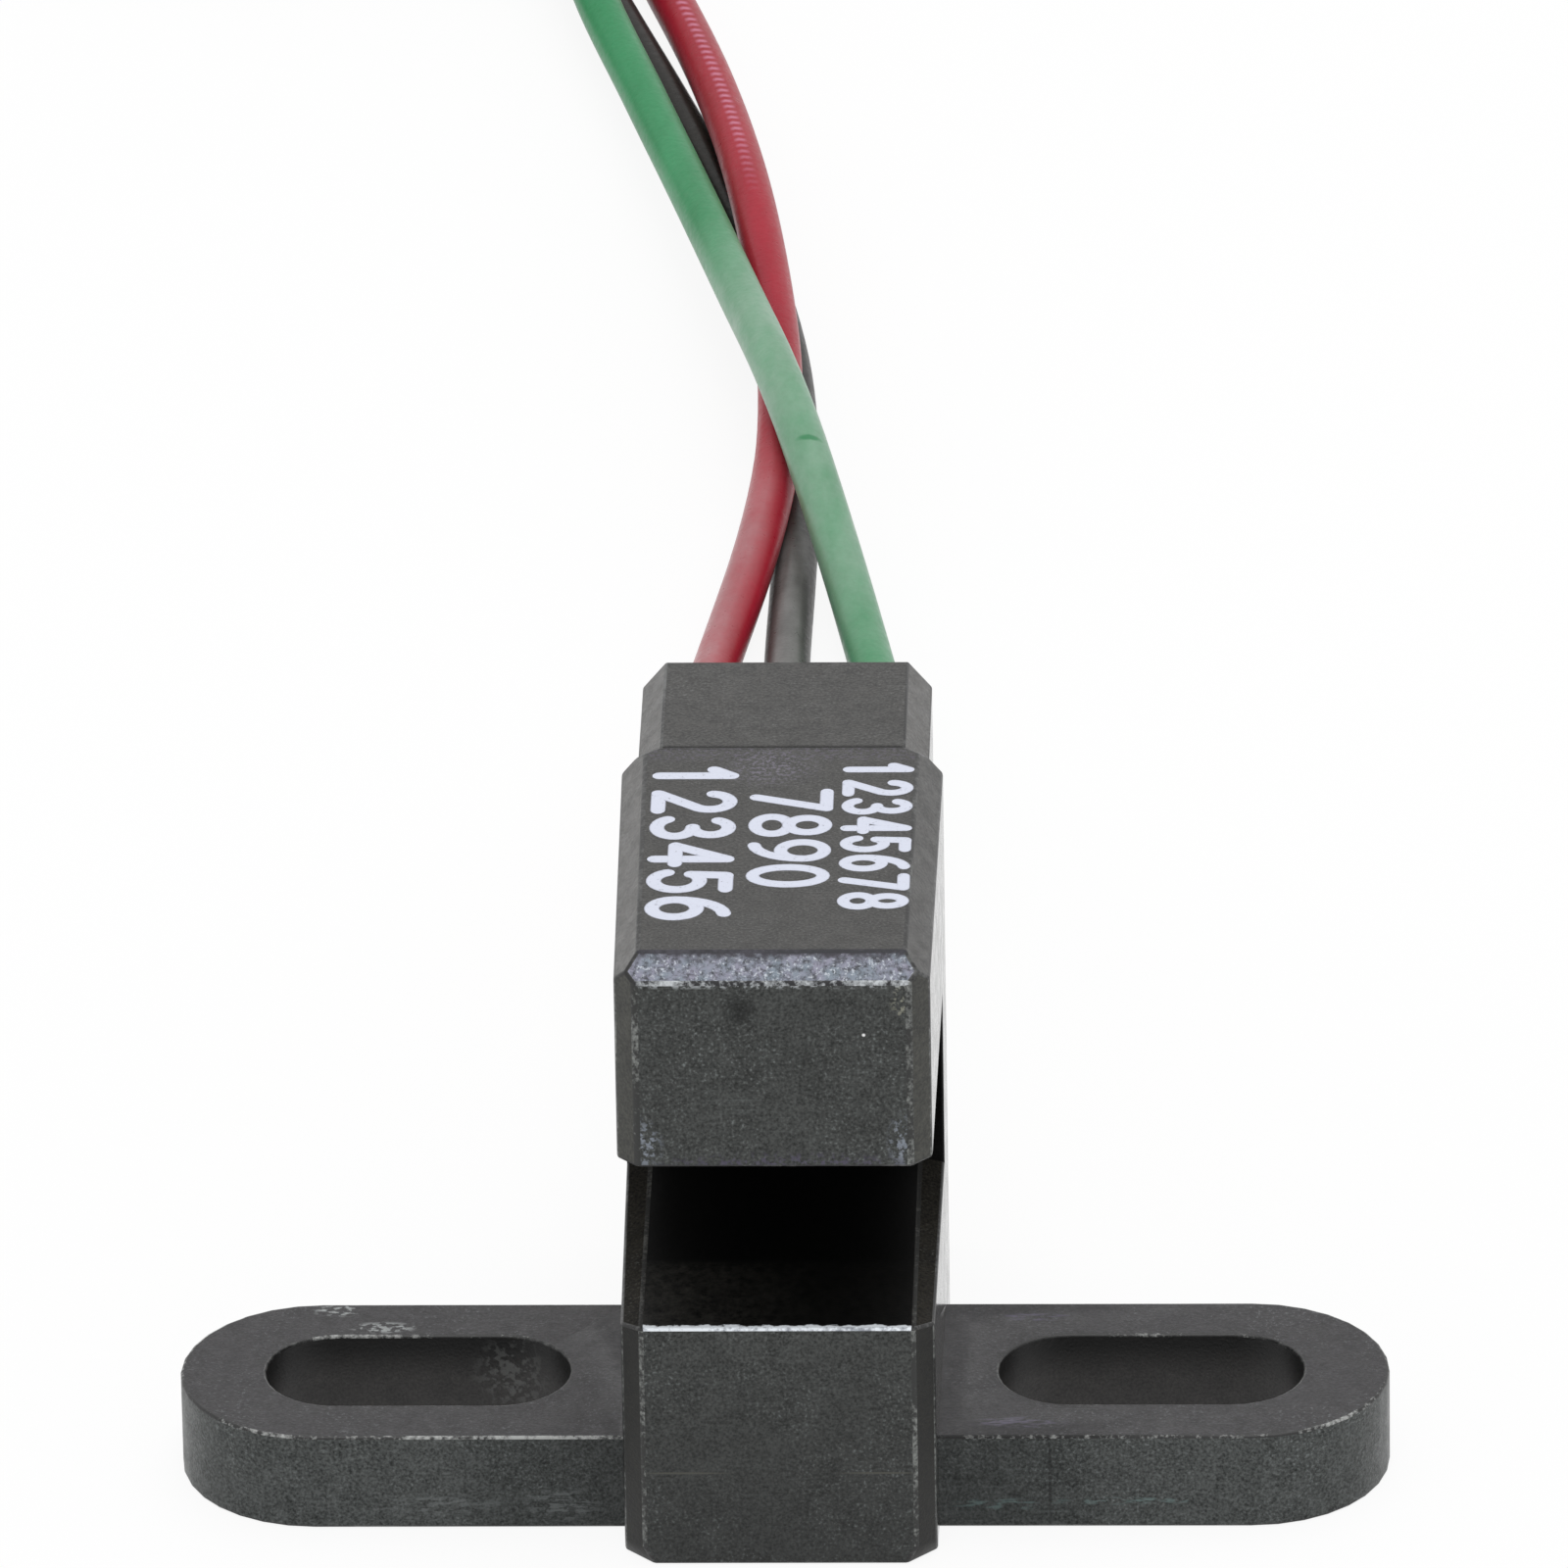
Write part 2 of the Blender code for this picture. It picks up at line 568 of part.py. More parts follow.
def build_wire_end(colour, lead, surface):
    """The tinned far end of a lead, inside the coil."""
    name = colour + "_wire_end"
    end = add_object(name, rod(name, END_DIAMETER, END_LENGTH, ROUND_SEGMENTS), SENSOR, surface)
    angle = END_FIRST_ANGLE + lead["level"] * END_ANGLE_STEP
    turn = Matrix.Rotation(angle, 4, "Z")
    height = COIL_BASE + COIL_SKIN + LEAD_DIAMETER / 2 + lead["level"] * COIL_PITCH
    start = turn @ Vector((END_RADIUS, -END_LENGTH / 2, height))
    end.location = COIL_CENTRE + start
    end.rotation_euler.z = angle


def shade_round():
    """Smooth shading for the round pieces that no cut or join changes."""
    for obj in SENSOR.objects:
        if obj.type == "MESH" and not obj.modifiers:
            obj.data.shade_smooth()
            obj.data.set_sharp_from_angle(angle=SHARP_ANGLE)


def main():
    moulding = material("black_moulding", (0.045, 0.047, 0.045), 0.5)
    epoxy = material("potting_epoxy", (0.02, 0.02, 0.022), 0.3)
    chip_plastic = material("chip_plastic", (0.03, 0.03, 0.03), 0.6)
    tinned = material("tinned_metal", (0.7, 0.7, 0.68), 0.35, 1.0)
    copper = material("bare_copper", (0.8, 0.42, 0.25), 0.35, 1.0)
    steel = material("soft_iron", (0.45, 0.45, 0.45), 0.45, 1.0)
    magnetic = material("magnet", (0.18, 0.18, 0.19), 0.5, 1.0)
    nylon = material("tie_nylon", (0.75, 0.75, 0.72), 0.5)
    coil_cover = material("coil_insulation", (0.12, 0.12, 0.12), 0.4)
    build_housing(moulding)
    build_rear_cap(moulding)
    build_potting(epoxy)
    build_chip(chip_plastic)
    build_poles_and_magnet(steel, magnetic)
    for colour, lead in LEADS.items():
        rooms = [build_leg(lead, tinned), build_inner_wire(colour, lead, copper)]
        build_solder(colour, lead, rooms, tinned)
        build_lead(colour, lead, material(colour + "_insulation", lead["colour"], 0.35))
        build_wire_end(colour, lead, tinned)
    build_coil(coil_cover)
    build_tie(nylon)
    shade_round()


clear_scene()
SENSOR = new_collection("hall_effect_sensor")
CUTTERS = new_collection("cutters")
main()
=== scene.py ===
"""The look of the hall effect vane sensor: its camera, light, floor, leads, print and materials.

Metres, in the same frame as the solids: the vane slot opens towards -Y and the leads leave at +Y.
"""

import json
import math

import bmesh
import bpy
from mathutils import Matrix, Vector


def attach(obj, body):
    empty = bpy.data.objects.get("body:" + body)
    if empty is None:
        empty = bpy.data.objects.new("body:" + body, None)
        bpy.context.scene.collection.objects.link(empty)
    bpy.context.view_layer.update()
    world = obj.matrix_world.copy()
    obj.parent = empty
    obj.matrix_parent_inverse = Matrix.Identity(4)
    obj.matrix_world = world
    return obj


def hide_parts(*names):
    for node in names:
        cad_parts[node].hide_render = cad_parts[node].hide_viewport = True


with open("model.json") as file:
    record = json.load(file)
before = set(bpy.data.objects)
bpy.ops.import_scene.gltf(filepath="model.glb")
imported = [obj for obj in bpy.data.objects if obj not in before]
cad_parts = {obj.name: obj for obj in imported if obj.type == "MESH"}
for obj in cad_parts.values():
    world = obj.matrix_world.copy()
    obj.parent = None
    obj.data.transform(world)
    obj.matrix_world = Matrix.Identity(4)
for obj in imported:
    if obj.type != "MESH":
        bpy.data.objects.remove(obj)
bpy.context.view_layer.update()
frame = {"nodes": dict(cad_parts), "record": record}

MM = 0.001

# Sizes of the solids that the pieces here are fitted to
FRONT_Y = -7.05 * MM
SEAM_Y = 2.62 * MM
REAR_Y = 7.05 * MM
HOUSING_HEIGHT = 14.2 * MM
CAP_HEIGHT = 13.95 * MM
LOWER_ARM_HEIGHT = 5.6 * MM
GAP_TOP = 9.4 * MM
VANE_DEPTH = 7.5 * MM
FRONT_WIDTH = 6.52 * MM
CORNER_CHAMFER = 0.42 * MM
CHAMFER = 0.5 * MM
EAR_THICKNESS = 2.17 * MM
EAR_Y = -2.58 * MM
EAR_DEPTH = 5.8 * MM
EAR_SLOT_WIDTH = 3.0 * MM
EAR_SLOT_START = 4.5 * MM
EAR_SLOT_END = 10.9 * MM

# Leads
LEAD_START_Y = 1.57 * MM
LEAD_Z = 11.35 * MM
LEAD_DIAMETER = 1.04 * MM
LEAD_PITCH = 1.5 * MM
LEAD_STEP = 0.8 * MM
LEAD_ROUNDNESS = 6

# Coil at the far end of the leads, and their bare strands
COIL_CENTRE = Vector((-14.6 * MM, 78.6 * MM, 0))
COIL_TURN_RADIUS = 6.72 * MM
COIL_PITCH = 1.08 * MM
COIL_START_ANGLE = math.radians(-4)
COIL_POINTS = 24
COIL_LOWEST = 0.8 * MM
END_RADIUS = 2.884 * MM
END_LENGTH = 2.6 * MM
STRANDS = 7
STRAND_DIAMETER = 0.2 * MM
STRAND_TURNS = 0.6
STRAND_STEPS = 16
STRAND_ROUNDNESS = 3

# Camera, fitted to the photograph
CAMERA_AZIMUTH = math.radians(1.816)
CAMERA_ELEVATION = math.radians(27.3)
CAMERA_ROLL = -0.017
CAMERA_DISTANCE = 450 * MM
CAMERA_TARGET = Vector((0.337 * MM, -7.05 * MM, 18.318 * MM))
CAMERA_LENS = 504.4

CAMERA_NEAR = 10 * MM
CAMERA_FAR = 10.0

# Rounded edges of the housing and its cap; a share is a bevel weight
MERGE = 0.0005 * MM
FLAT_ANGLE = math.radians(1)
SHARP_ANGLE = math.radians(25)
EDGE_WIDTH = 0.12 * MM
EDGE_SEGMENTS = 2
EDGE_SHARE = 0.5
RIDGE_SHARE = 0.4
UPPER_FRONT_SHARE = 0.7

# How far the tests for a face's place reach
LEVEL_REACH = 0.2 * MM
RIM_END = 0.9 * MM

# Print on the top face: digits in strokes of a pen, whose round ends go out and narrow in steps
PRINT_FLATNESS = 0.03
STROKE_TURN = math.radians(50)
STROKE_LIFT = 0.04 * MM
STROKE_LEVELS = 3
STROKE_ROUNDNESS = 3
STROKE_END = [(0.99, 0.14), (0.87, 0.5), (0.5, 0.87)]
DIGIT_SPACE = 0.07
ARC_STEP = 12.0

# Its rows in millimetres: each stroke's width, and the row's reach across the top and along it
PRINT_ROWS = {
    "print_left": {"digits": "123456", "stroke": 0.32, "across": (-2.68, -0.86), "along": (1.88, -5.22)},
    "print_middle": {"digits": "7890", "stroke": 0.29, "across": (-0.62, 1.14), "along": (0.72, -3.75)},
    "print_right": {"digits": "12345678", "stroke": 0.27, "across": (1.3, 2.8), "along": (1.98, -4.75)},
}

# Materials: lengths in millimetres, apart from the depth of the grain
BLACK = (0.0, 0.0, 0.0)
WEAR_COLOUR = (0.24, 0.27, 0.27)
GRAIN_SCALE = 15.0
GRAIN_DEPTH = 0.008 * MM
FINE_BITS = (10.0, 10.0, 10.0)
CHIP_BITS = (5.0, 7.0, 7.0)
SCRATCH_BITS = (3.0, 14.0, 14.0)
WALL_BITS = (6.0, 6.0, 6.0)
# The gap floor's scuffs are painted only in front of this Y: a painted shadow edge of the upper arm.
SCUFF_SHADOW_EDGE = -4.05
# Width of the pale front strip of the gap floor: partly wear and partly a painted highlight.
LIP_WIDTH = 0.16
# Spacing of the painted glints along a lead's crest.
GLINT_SPACING = 0.36
BAND_REACH = 50.0

# Light
WORLD_LEVEL = 0.7
FLOOR_SIZE = 4.0
FLOOR_GAP = 0.02 * MM
FLOOR_GLOW = 0.9
KEY_SIZE = 0.12
KEY_POWER = 0.3
KEY_PLACE = Vector((0.0, -0.19, 0.36))
OVERHEAD_SIZE = 0.3
OVERHEAD_POWER = 0.48
OVERHEAD_PLACE = Vector((0.05, 0.1, 0.45))
LAMP_TARGET = Vector((0, 0, 5 * MM))

# Each lead's place in the row, level in the coil, end angle there in degrees and route in millimetres
LEADS = {
    "red": {
        "side": -1,
        "level": 1,
        "end_angle": 135,
        "route": [
            (-1.77, 12.5, 10.5), (-2.37, 17.5, 7.3), (-2.84, 22.5, 3.8), (-2.9, 27.5, 1.5),
            (-2.31, 33.5, 0.7), (-1.58, 37.8, 1.25), (-1.24, 41.3, 1.6), (-1.26, 45.4, 1.74),
            (-1.6, 50.0, 1.74), (-2.3, 56.1, 1.63), (-3.29, 62.4, 1.15), (-4.55, 68.2, 0.8),
            (-5.7, 72.0, 1.05), (-6.95, 75.2, 1.6),
        ],
    },
    "black": {
        "side": 0,
        "level": 0,
        "end_angle": 95,
        "route": [
            (-0.1, 12.5, 10.5), (-0.34, 17.5, 7.3), (-0.58, 22.5, 3.8), (-0.75, 27.5, 1.5),
            (-0.82, 33.5, 0.6), (-0.78, 38.0, 0.55), (-0.8, 42.0, 0.55), (-1.04, 47.1, 0.55),
            (-1.39, 50.2, 0.55), (-1.95, 53.3, 0.55), (-3.23, 58.6, 0.55), (-4.4, 62.8, 0.55),
            (-6.0, 68.3, 0.6), (-7.0, 72.0, 0.7), (-7.6, 74.6, 0.8),
        ],
    },
    "green": {
        "side": 1,
        "level": 2,
        "end_angle": 175,
        "route": [
            (1.59, 12.5, 10.5), (1.76, 17.5, 7.3), (1.83, 22.5, 3.9), (1.64, 27.5, 1.7),
            (1.04, 33.0, 0.82), (0.37, 36.6, 1.3), (-0.37, 39.7, 2.2), (-0.79, 41.4, 2.62),
            (-1.34, 43.8, 2.82), (-2.22, 48.2, 2.45), (-3.53, 55.0, 1.75), (-4.87, 61.0, 1.5),
            (-6.26, 66.7, 1.6), (-7.2, 71.2, 2.3), (-7.75, 74.2, 2.75),
        ],
    },
}


def add_object(name, data):
    """A new object in the scene."""
    obj = bpy.data.objects.new(name, data)
    bpy.context.scene.collection.objects.link(obj)
    return obj


def build_camera():
    """The photograph's viewpoint, with its slight roll."""
    forward = Vector((
        -math.sin(CAMERA_AZIMUTH) * math.cos(CAMERA_ELEVATION),
        math.cos(CAMERA_AZIMUTH) * math.cos(CAMERA_ELEVATION),
        -math.sin(CAMERA_ELEVATION),
    ))
    level_right = Vector((math.cos(CAMERA_AZIMUTH), math.sin(CAMERA_AZIMUTH), 0))
    level_up = level_right.cross(forward)
    right = math.cos(CAMERA_ROLL) * level_right + math.sin(CAMERA_ROLL) * level_up
    up = right.cross(forward)
    data = bpy.data.cameras.new("camera")
    data.sensor_width = 36
    data.lens = CAMERA_LENS
    data.clip_start = CAMERA_NEAR
    data.clip_end = CAMERA_FAR
    camera = add_object("camera", data)
    place = Matrix((right, up, -forward)).transposed().to_4x4()
    place.translation = CAMERA_TARGET - CAMERA_DISTANCE * forward
    camera.matrix_world = place
    bpy.context.scene.camera = camera


def smooth_path(points, spacing):
    """Points about a spacing apart on a centripetal Catmull-Rom curve through the given ones."""
    points = [Vector(point) for point in points]
    points = [2 * points[0] - points[1]] + points + [2 * points[-1] - points[-2]]
    path = []
    for index in range(1, len(points) - 2):
        near = points[index - 1:index + 3]
        knots = [0.0]
        for first, second in zip(near, near[1:]):
            knots.append(knots[-1] + math.sqrt((second - first).length))
        count = max(1, round((near[2] - near[1]).length / spacing))
        for step in range(count):
            knot = knots[1] + (knots[2] - knots[1]) * step / count
            path.append(catmull_rom(near, knots, knot))
    path.append(points[-2])
    return path


def catmull_rom(near, knots, knot):
    """The curve's point at a knot between the middle two of four near points."""
    first = [
        near[i].lerp(near[i + 1], (knot - knots[i]) / (knots[i + 1] - knots[i]))
        for i in range(3)
    ]
    second = [
        first[i].lerp(first[i + 1], (knot - knots[i]) / (knots[i + 2] - knots[i]))
        for i in range(2)
    ]
    return second[0].lerp(second[1], (knot - knots[1]) / (knots[2] - knots[1]))


def coil_points(lead):
    """A flat spiral that ends in line with the lead's bare end."""
    z = COIL_LOWEST + lead["level"] * COIL_PITCH
    inward = -COIL_PITCH / math.tau
    back = math.atan2(END_LENGTH / 2, END_RADIUS)
    reach = math.hypot(END_LENGTH / 2, END_RADIUS)
    last = 2 * math.tau + math.radians(lead["end_angle"]) - back
    drop = reach - (COIL_TURN_RADIUS + inward * (last - COIL_START_ANGLE))
    turned = 2 * drop / (-reach * math.tan(back) - inward)
    count = round((last - COIL_START_ANGLE) / math.tau * COIL_POINTS)
    points = []
    for step in range(1, count + 1):
        angle = COIL_START_ANGLE + (last - COIL_START_ANGLE) * step / count
        eased = max(0.0, 1 - (last - angle) / turned)
        radius = COIL_TURN_RADIUS + inward * (angle - COIL_START_ANGLE) + drop * eased ** 2
        points.append(COIL_CENTRE + Vector((radius * math.cos(angle), radius * math.sin(angle), z)))
    return points


def lead_points(lead):
    """The points of a whole lead, from inside the potting to its bare end."""
    x = lead["side"] * LEAD_PITCH
    straight = [(x, y, LEAD_Z) for y in (LEAD_START_Y, REAR_Y, REAR_Y + 2 * LEAD_DIAMETER)]
    route = [(x * MM, y * MM, z * MM) for x, y, z in lead["route"]]
    return straight + route + coil_points(lead)


def build_lead(colour, lead, surface, strands):
    """An insulated lead. Its strands argument is not used."""
    curve = bpy.data.curves.new(colour + "_wire", "CURVE")
    curve.dimensions = "3D"
    curve.bevel_depth = LEAD_DIAMETER / 2
    curve.bevel_resolution = LEAD_ROUNDNESS
    curve.use_fill_caps = True
    path = smooth_path(lead_points(lead), LEAD_STEP)
    spline = curve.splines.new("POLY")
    spline.points.add(len(path) - 1)
    for point, place in zip(spline.points, path):
        point.co = (*place, 1)
    spline.use_smooth = True
    curve.materials.append(surface)
    wire = add_object(colour + "_wire", curve)
    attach(wire, "root")
    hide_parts(colour + "_lead")
    if lead["level"] == 0:
        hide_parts("lead_coil")


def add_node(tree, kind, inputs=None, **settings):
    """A new shader node; an input that is given as a socket is linked, any other is set."""
    made = tree.nodes.new("ShaderNode" + kind)
    for key, value in settings.items():
        setattr(made, key, value)
    for key, value in (inputs or {}).items():
        if isinstance(value, bpy.types.NodeSocket):
            tree.links.new(value, made.inputs[key])
        else:
            made.inputs[key].default_value = value
    return made


def start_material(name, roughness, metallic=0.0):
    """A new material, its tree, its shader and the place on the object in millimetres."""
    made = bpy.data.materials.new(name)
    made.use_nodes = True
    tree = made.node_tree
    shader = tree.nodes["Principled BSDF"]
    shader.inputs["Roughness"].default_value = roughness
    shader.inputs["Metallic"].default_value = metallic
    place = add_node(tree, "TexCoord").outputs["Object"]
    in_mm = add_node(tree, "VectorMath", {0: place, "Scale": 1 / MM}, operation="SCALE")
    return made, tree, shader, in_mm.outputs[0]


def stretched(tree, place, factors):
    """The place scaled by a factor on each axis."""
    return add_node(tree, "VectorMath", {0: place, 1: factors}, operation="MULTIPLY").outputs[0]


def noise(tree, place, scale, detail=2.0, roughness=0.5):
    """Noise about 0.5, finer at a larger scale."""
    settings = {"Vector": place, "Scale": scale, "Detail": detail, "Roughness": roughness}
    return add_node(tree, "TexNoise", settings).outputs["Fac"]


def ramp(tree, value, low, high, to_low=0.0, to_high=1.0):
    """The value spread from one range to another and held at its ends."""
    settings = {"Value": value, 1: low, 2: high, 3: to_low, 4: to_high}
    return add_node(tree, "MapRange", settings, clamp=True).outputs["Result"]


def math_node(tree, operation, first, second=0.0):
    """The result of a sum on sockets or numbers."""
    return add_node(tree, "Math", {0: first, 1: second}, operation=operation).outputs[0]


def blend_colours(tree, factor, first, second):
    """One colour mixed into another; each is a socket or three numbers."""
    made = add_node(tree, "Mix", data_type="RGBA")
    for name, value in (("Factor", factor), ("A", first), ("B", second)):
        socket = next(item for item in made.inputs if item.name == name and item.enabled)
        if isinstance(value, bpy.types.NodeSocket):
            tree.links.new(value, socket)
        else:
            socket.default_value = value if name == "Factor" else (*value, 1.0)
    return next(item for item in made.outputs if item.enabled)


def add_bump(tree, shader, height, depth):
    """Fine relief on the shader, a depth in metres high."""
    bump = add_node(tree, "Bump", {"Height": height, "Strength": 1.0, "Distance": depth})
    tree.links.new(bump.outputs["Normal"], shader.inputs["Normal"])


def specks(tree, place, scale, rare, patches):
    """Small irregular light marks that come in loose patches."""
    dots = ramp(tree, noise(tree, place, scale, 2.0, 0.6), rare, rare + 0.16)
    loose = ramp(tree, noise(tree, place, 0.8, 2.0), patches, patches + 0.2)
    return math_node(tree, "MULTIPLY", dots, loose)


def spot(tree, place, centre, reach, softness=0.5, broken=None):
    """One inside a soft-edged oval round a point and nothing outside, or one in bits if broken."""
    offset = add_node(tree, "VectorMath", {0: place, 1: centre}, operation="SUBTRACT").outputs[0]
    offset = add_node(tree, "VectorMath", {0: offset, 1: reach}, operation="DIVIDE").outputs[0]
    distance = add_node(tree, "VectorMath", {0: offset}, operation="LENGTH").outputs["Value"]
    inside = ramp(tree, distance, 1.0, 1.0 - softness)
    if broken:
        bits = ramp(tree, noise(tree, stretched(tree, place, broken), 1.0, 2.0, 0.6), 0.5, 0.6)
        inside = math_node(tree, "MULTIPLY", inside, bits)
    return inside


def grained(tree, place, dark, light, cloudy=0.32):
    """A colour with a strong fine grain and a weaker cloudiness, and the grain by itself."""
    grain = noise(tree, place, GRAIN_SCALE, 2.0, 0.7)
    cloud = noise(tree, place, 2.2, 4.0, 0.6)
    fine = math_node(tree, "MULTIPLY", ramp(tree, grain, 0.32, 0.68), 1 - cloudy)
    coarse = math_node(tree, "MULTIPLY", ramp(tree, cloud, 0.36, 0.64), cloudy)
    return blend_colours(tree, math_node(tree, "ADD", fine, coarse), dark, light), grain


def mark(at, reach, colour, share=1.0, softness=0.5, broken=None):
    """What with_spots needs for one spot, in millimetres."""
    return {"oval": (at, reach, softness, broken), "colour": colour, "share": share}


def with_spots(tree, place, colour, spots):
    """The colour with each spot's own colour laid over it."""
    for settings in spots:
        inside = spot(tree, place, *settings["oval"])
        share = math_node(tree, "MULTIPLY", inside, settings["share"])
        colour = blend_colours(tree, share, colour, settings["colour"])
    return colour


def moulded(name, dark, light, roughness, marks=0.5, streaks=None, specular=0.5, spots=(), dull=None):
    """Black plastic with a fine grain, small light marks, faint scratches, spots and a dull place."""
    made, tree, shader, place = start_material(name, roughness)
    shader.inputs["Specular IOR Level"].default_value = specular
    colour, grain = grained(tree, place, dark, light, 0.2)
    worn = specks(tree, place, 15.0, 0.60, 0.42)
    if streaks:
        line = ramp(tree, noise(tree, stretched(tree, place, streaks), 1.0, 2.0), 0.60, 0.76)
        line = math_node(tree, "MULTIPLY", line, ramp(tree, noise(tree, place, 0.45), 0.42, 0.62))
        worn = math_node(tree, "MAXIMUM", worn, math_node(tree, "MULTIPLY", line, 0.3))
    colour = blend_colours(tree, math_node(tree, "MULTIPLY", worn, marks), colour, WEAR_COLOUR)
    colour = with_spots(tree, place, colour, spots)
    tree.links.new(colour, shader.inputs["Base Color"])
    if dull:
        inside = spot(tree, place, dull["at"], dull["reach"], dull["softness"])
        level = ramp(tree, inside, 0.0, 1.0, specular, dull["level"])
        tree.links.new(level, shader.inputs["Specular IOR Level"])
    spread = noise(tree, place, 2.5, 3.0)
    spread = ramp(tree, spread, 0.35, 0.65, roughness - 0.05, roughness + 0.05)
    tree.links.new(spread, shader.inputs["Roughness"])
    add_bump(tree, shader, grain, GRAIN_DEPTH)
    return made


def worn_and_highlit_edge(name, dark, light, cover, roughness=0.4, scale=7.0, specular=0.5):
    """The rounded edges: the plastic shows lighter in short broken dashes and dots, which is wear, and
    near white on the lip, which is also a painted highlight.
    """
    made, tree, shader, place = start_material(name, roughness)
    shader.inputs["Specular IOR Level"].default_value = specular
    dashes = math_node(tree, "ADD", noise(tree, place, scale, 3.0, 0.7), noise(tree, place, 0.6))
    worn = ramp(tree, dashes, cover, cover + 0.25)
    tree.links.new(blend_colours(tree, worn, dark, light), shader.inputs["Base Color"])
    add_bump(tree, shader, noise(tree, place, GRAIN_SCALE, 3.0), GRAIN_DEPTH)
    return made


def scuffed(name):
    """The rough slope at the top of the front: mottled grey with blue and violet, paler partly from
    scuffing and partly as a painted highlight, and white chips.
    """
    made, tree, shader, place = start_material(name, 0.5)
    mottle = noise(tree, place, 8.0, 4.0, 0.75)
    hue = ramp(tree, noise(tree, place, 3.0, 3.0), 0.35, 0.65)
    # Painted highlight: the light grey-blue body stands partly for the lamp's reflection on this slope.
    body = blend_colours(tree, hue, (0.21, 0.255, 0.305), (0.26, 0.255, 0.33))
    colour = blend_colours(tree, ramp(tree, mottle, 0.36, 0.56), (0.03, 0.033, 0.042), body)
    chips = ramp(tree, noise(tree, place, 14.0, 2.0, 0.6), 0.57, 0.70)
    colour = blend_colours(tree, chips, colour, (0.54, 0.58, 0.64))
    high = add_node(tree, "SeparateXYZ", {0: place}).outputs["Z"]
    rim = HOUSING_HEIGHT / MM
    ragged = ramp(tree, noise(tree, place, 5.0, 3.0), 0.3, 0.7, -0.08, 0.08)
    ragged = math_node(tree, "ADD", high, ragged)
    at_rim = ramp(tree, ragged, rim - 0.17, rim - 0.03)
    colour = blend_colours(tree, at_rim, colour, (0.02, 0.018, 0.028))
    tree.links.new(colour, shader.inputs["Base Color"])
    add_bump(tree, shader, mottle, 0.02 * MM)
    return made


def scraped_floor(name):
    """The vane gap's floor: black, with faint brownish scuffs near its open end that stop at a painted
    shadow edge under the upper arm, and a pale front strip that is partly wear and partly a painted
    highlight.
    """
    made, tree, shader, place = start_material(name, 0.34)
    shader.inputs["Specular IOR Level"].default_value = 0.15
    grain = noise(tree, place, GRAIN_SCALE, 3.0, 0.65)
    along = add_node(tree, "SeparateXYZ", {0: place}).outputs
    # Painted shadow edge: the scuffs show only where the lamp reaches, in front of the upper arm's shadow.
    near = ramp(tree, along["Y"], SCUFF_SHADOW_EDGE, SCUFF_SHADOW_EDGE - 0.3)
    aside = ramp(tree, along["X"], 0.8, -2.4, 0.15, 1.0)
    marks = ramp(tree, noise(tree, place, 6.0, 4.0, 0.75), 0.36, 0.68)
    share = math_node(tree, "MULTIPLY", marks, math_node(tree, "MULTIPLY", near, aside))
    colour = blend_colours(tree, share, (0.001, 0.001, 0.001), (0.025, 0.024, 0.021))
    ragged = ramp(tree, noise(tree, place, 5.0, 3.0), 0.3, 0.7, -0.06, 0.06)
    ragged = math_node(tree, "ADD", along["Y"], ragged)
    # The pale lip at the floor's front edge: partly wear, partly a painted highlight.
    lip_end = FRONT_Y / MM + LIP_WIDTH
    lip = ramp(tree, ragged, lip_end, lip_end - 0.05)
    colour = blend_colours(tree, lip, colour, (0.72, 0.76, 0.80))
    tree.links.new(colour, shader.inputs["Base Color"])
    add_bump(tree, shader, grain, GRAIN_DEPTH / 2)
    return made


def painted_light_corner(name):
    """The front corner chamfers: darker low down as painted shade, and paler and shinier towards the top
    as painted light.
    """
    made, tree, shader, place = start_material(name, 0.42)
    height = add_node(tree, "SeparateXYZ", {0: place}).outputs["Z"]
    # Painted light: the share of the paler colour grows with height.
    painted_lighter = ramp(tree, height, LOWER_ARM_HEIGHT / MM, GAP_TOP / MM)
    low = grained(tree, place, BLACK, (0.010, 0.010, 0.007))[0]
    high, grain = grained(tree, place, (0.006, 0.007, 0.005), (0.055, 0.055, 0.045))
    tree.links.new(blend_colours(tree, painted_lighter, low, high), shader.inputs["Base Color"])
    tree.links.new(ramp(tree, painted_lighter, 0.0, 1.0, 0.36, 0.5), shader.inputs["Specular IOR Level"])
    add_bump(tree, shader, grain, GRAIN_DEPTH)
    return made


def slot_wall(name):
    """The ear slots' walls: black under the rim, greyer further down, and with a pale scuff."""
    made, tree, shader, place = start_material(name, 0.42)
    shader.inputs["Specular IOR Level"].default_value = 0.4
    height = add_node(tree, "SeparateXYZ", {0: place}).outputs["Z"]
    low, grain = grained(tree, place, (0.012, 0.011, 0.011), (0.05, 0.047, 0.045))
    rim = EAR_THICKNESS / MM
    below_rim = ramp(tree, height, rim - 0.3, rim - 1.0)
    colour = blend_colours(tree, below_rim, (0.001, 0.001, 0.001), low)
    colour = with_spots(tree, place, colour, [
        mark((-5.8, -1.1, 1.2), (0.95, 1.0, 1.1), (0.16, 0.165, 0.16), 0.6, 0.7, WALL_BITS),
    ])
    tree.links.new(colour, shader.inputs["Base Color"])
    add_bump(tree, shader, grain, GRAIN_DEPTH)
    return made


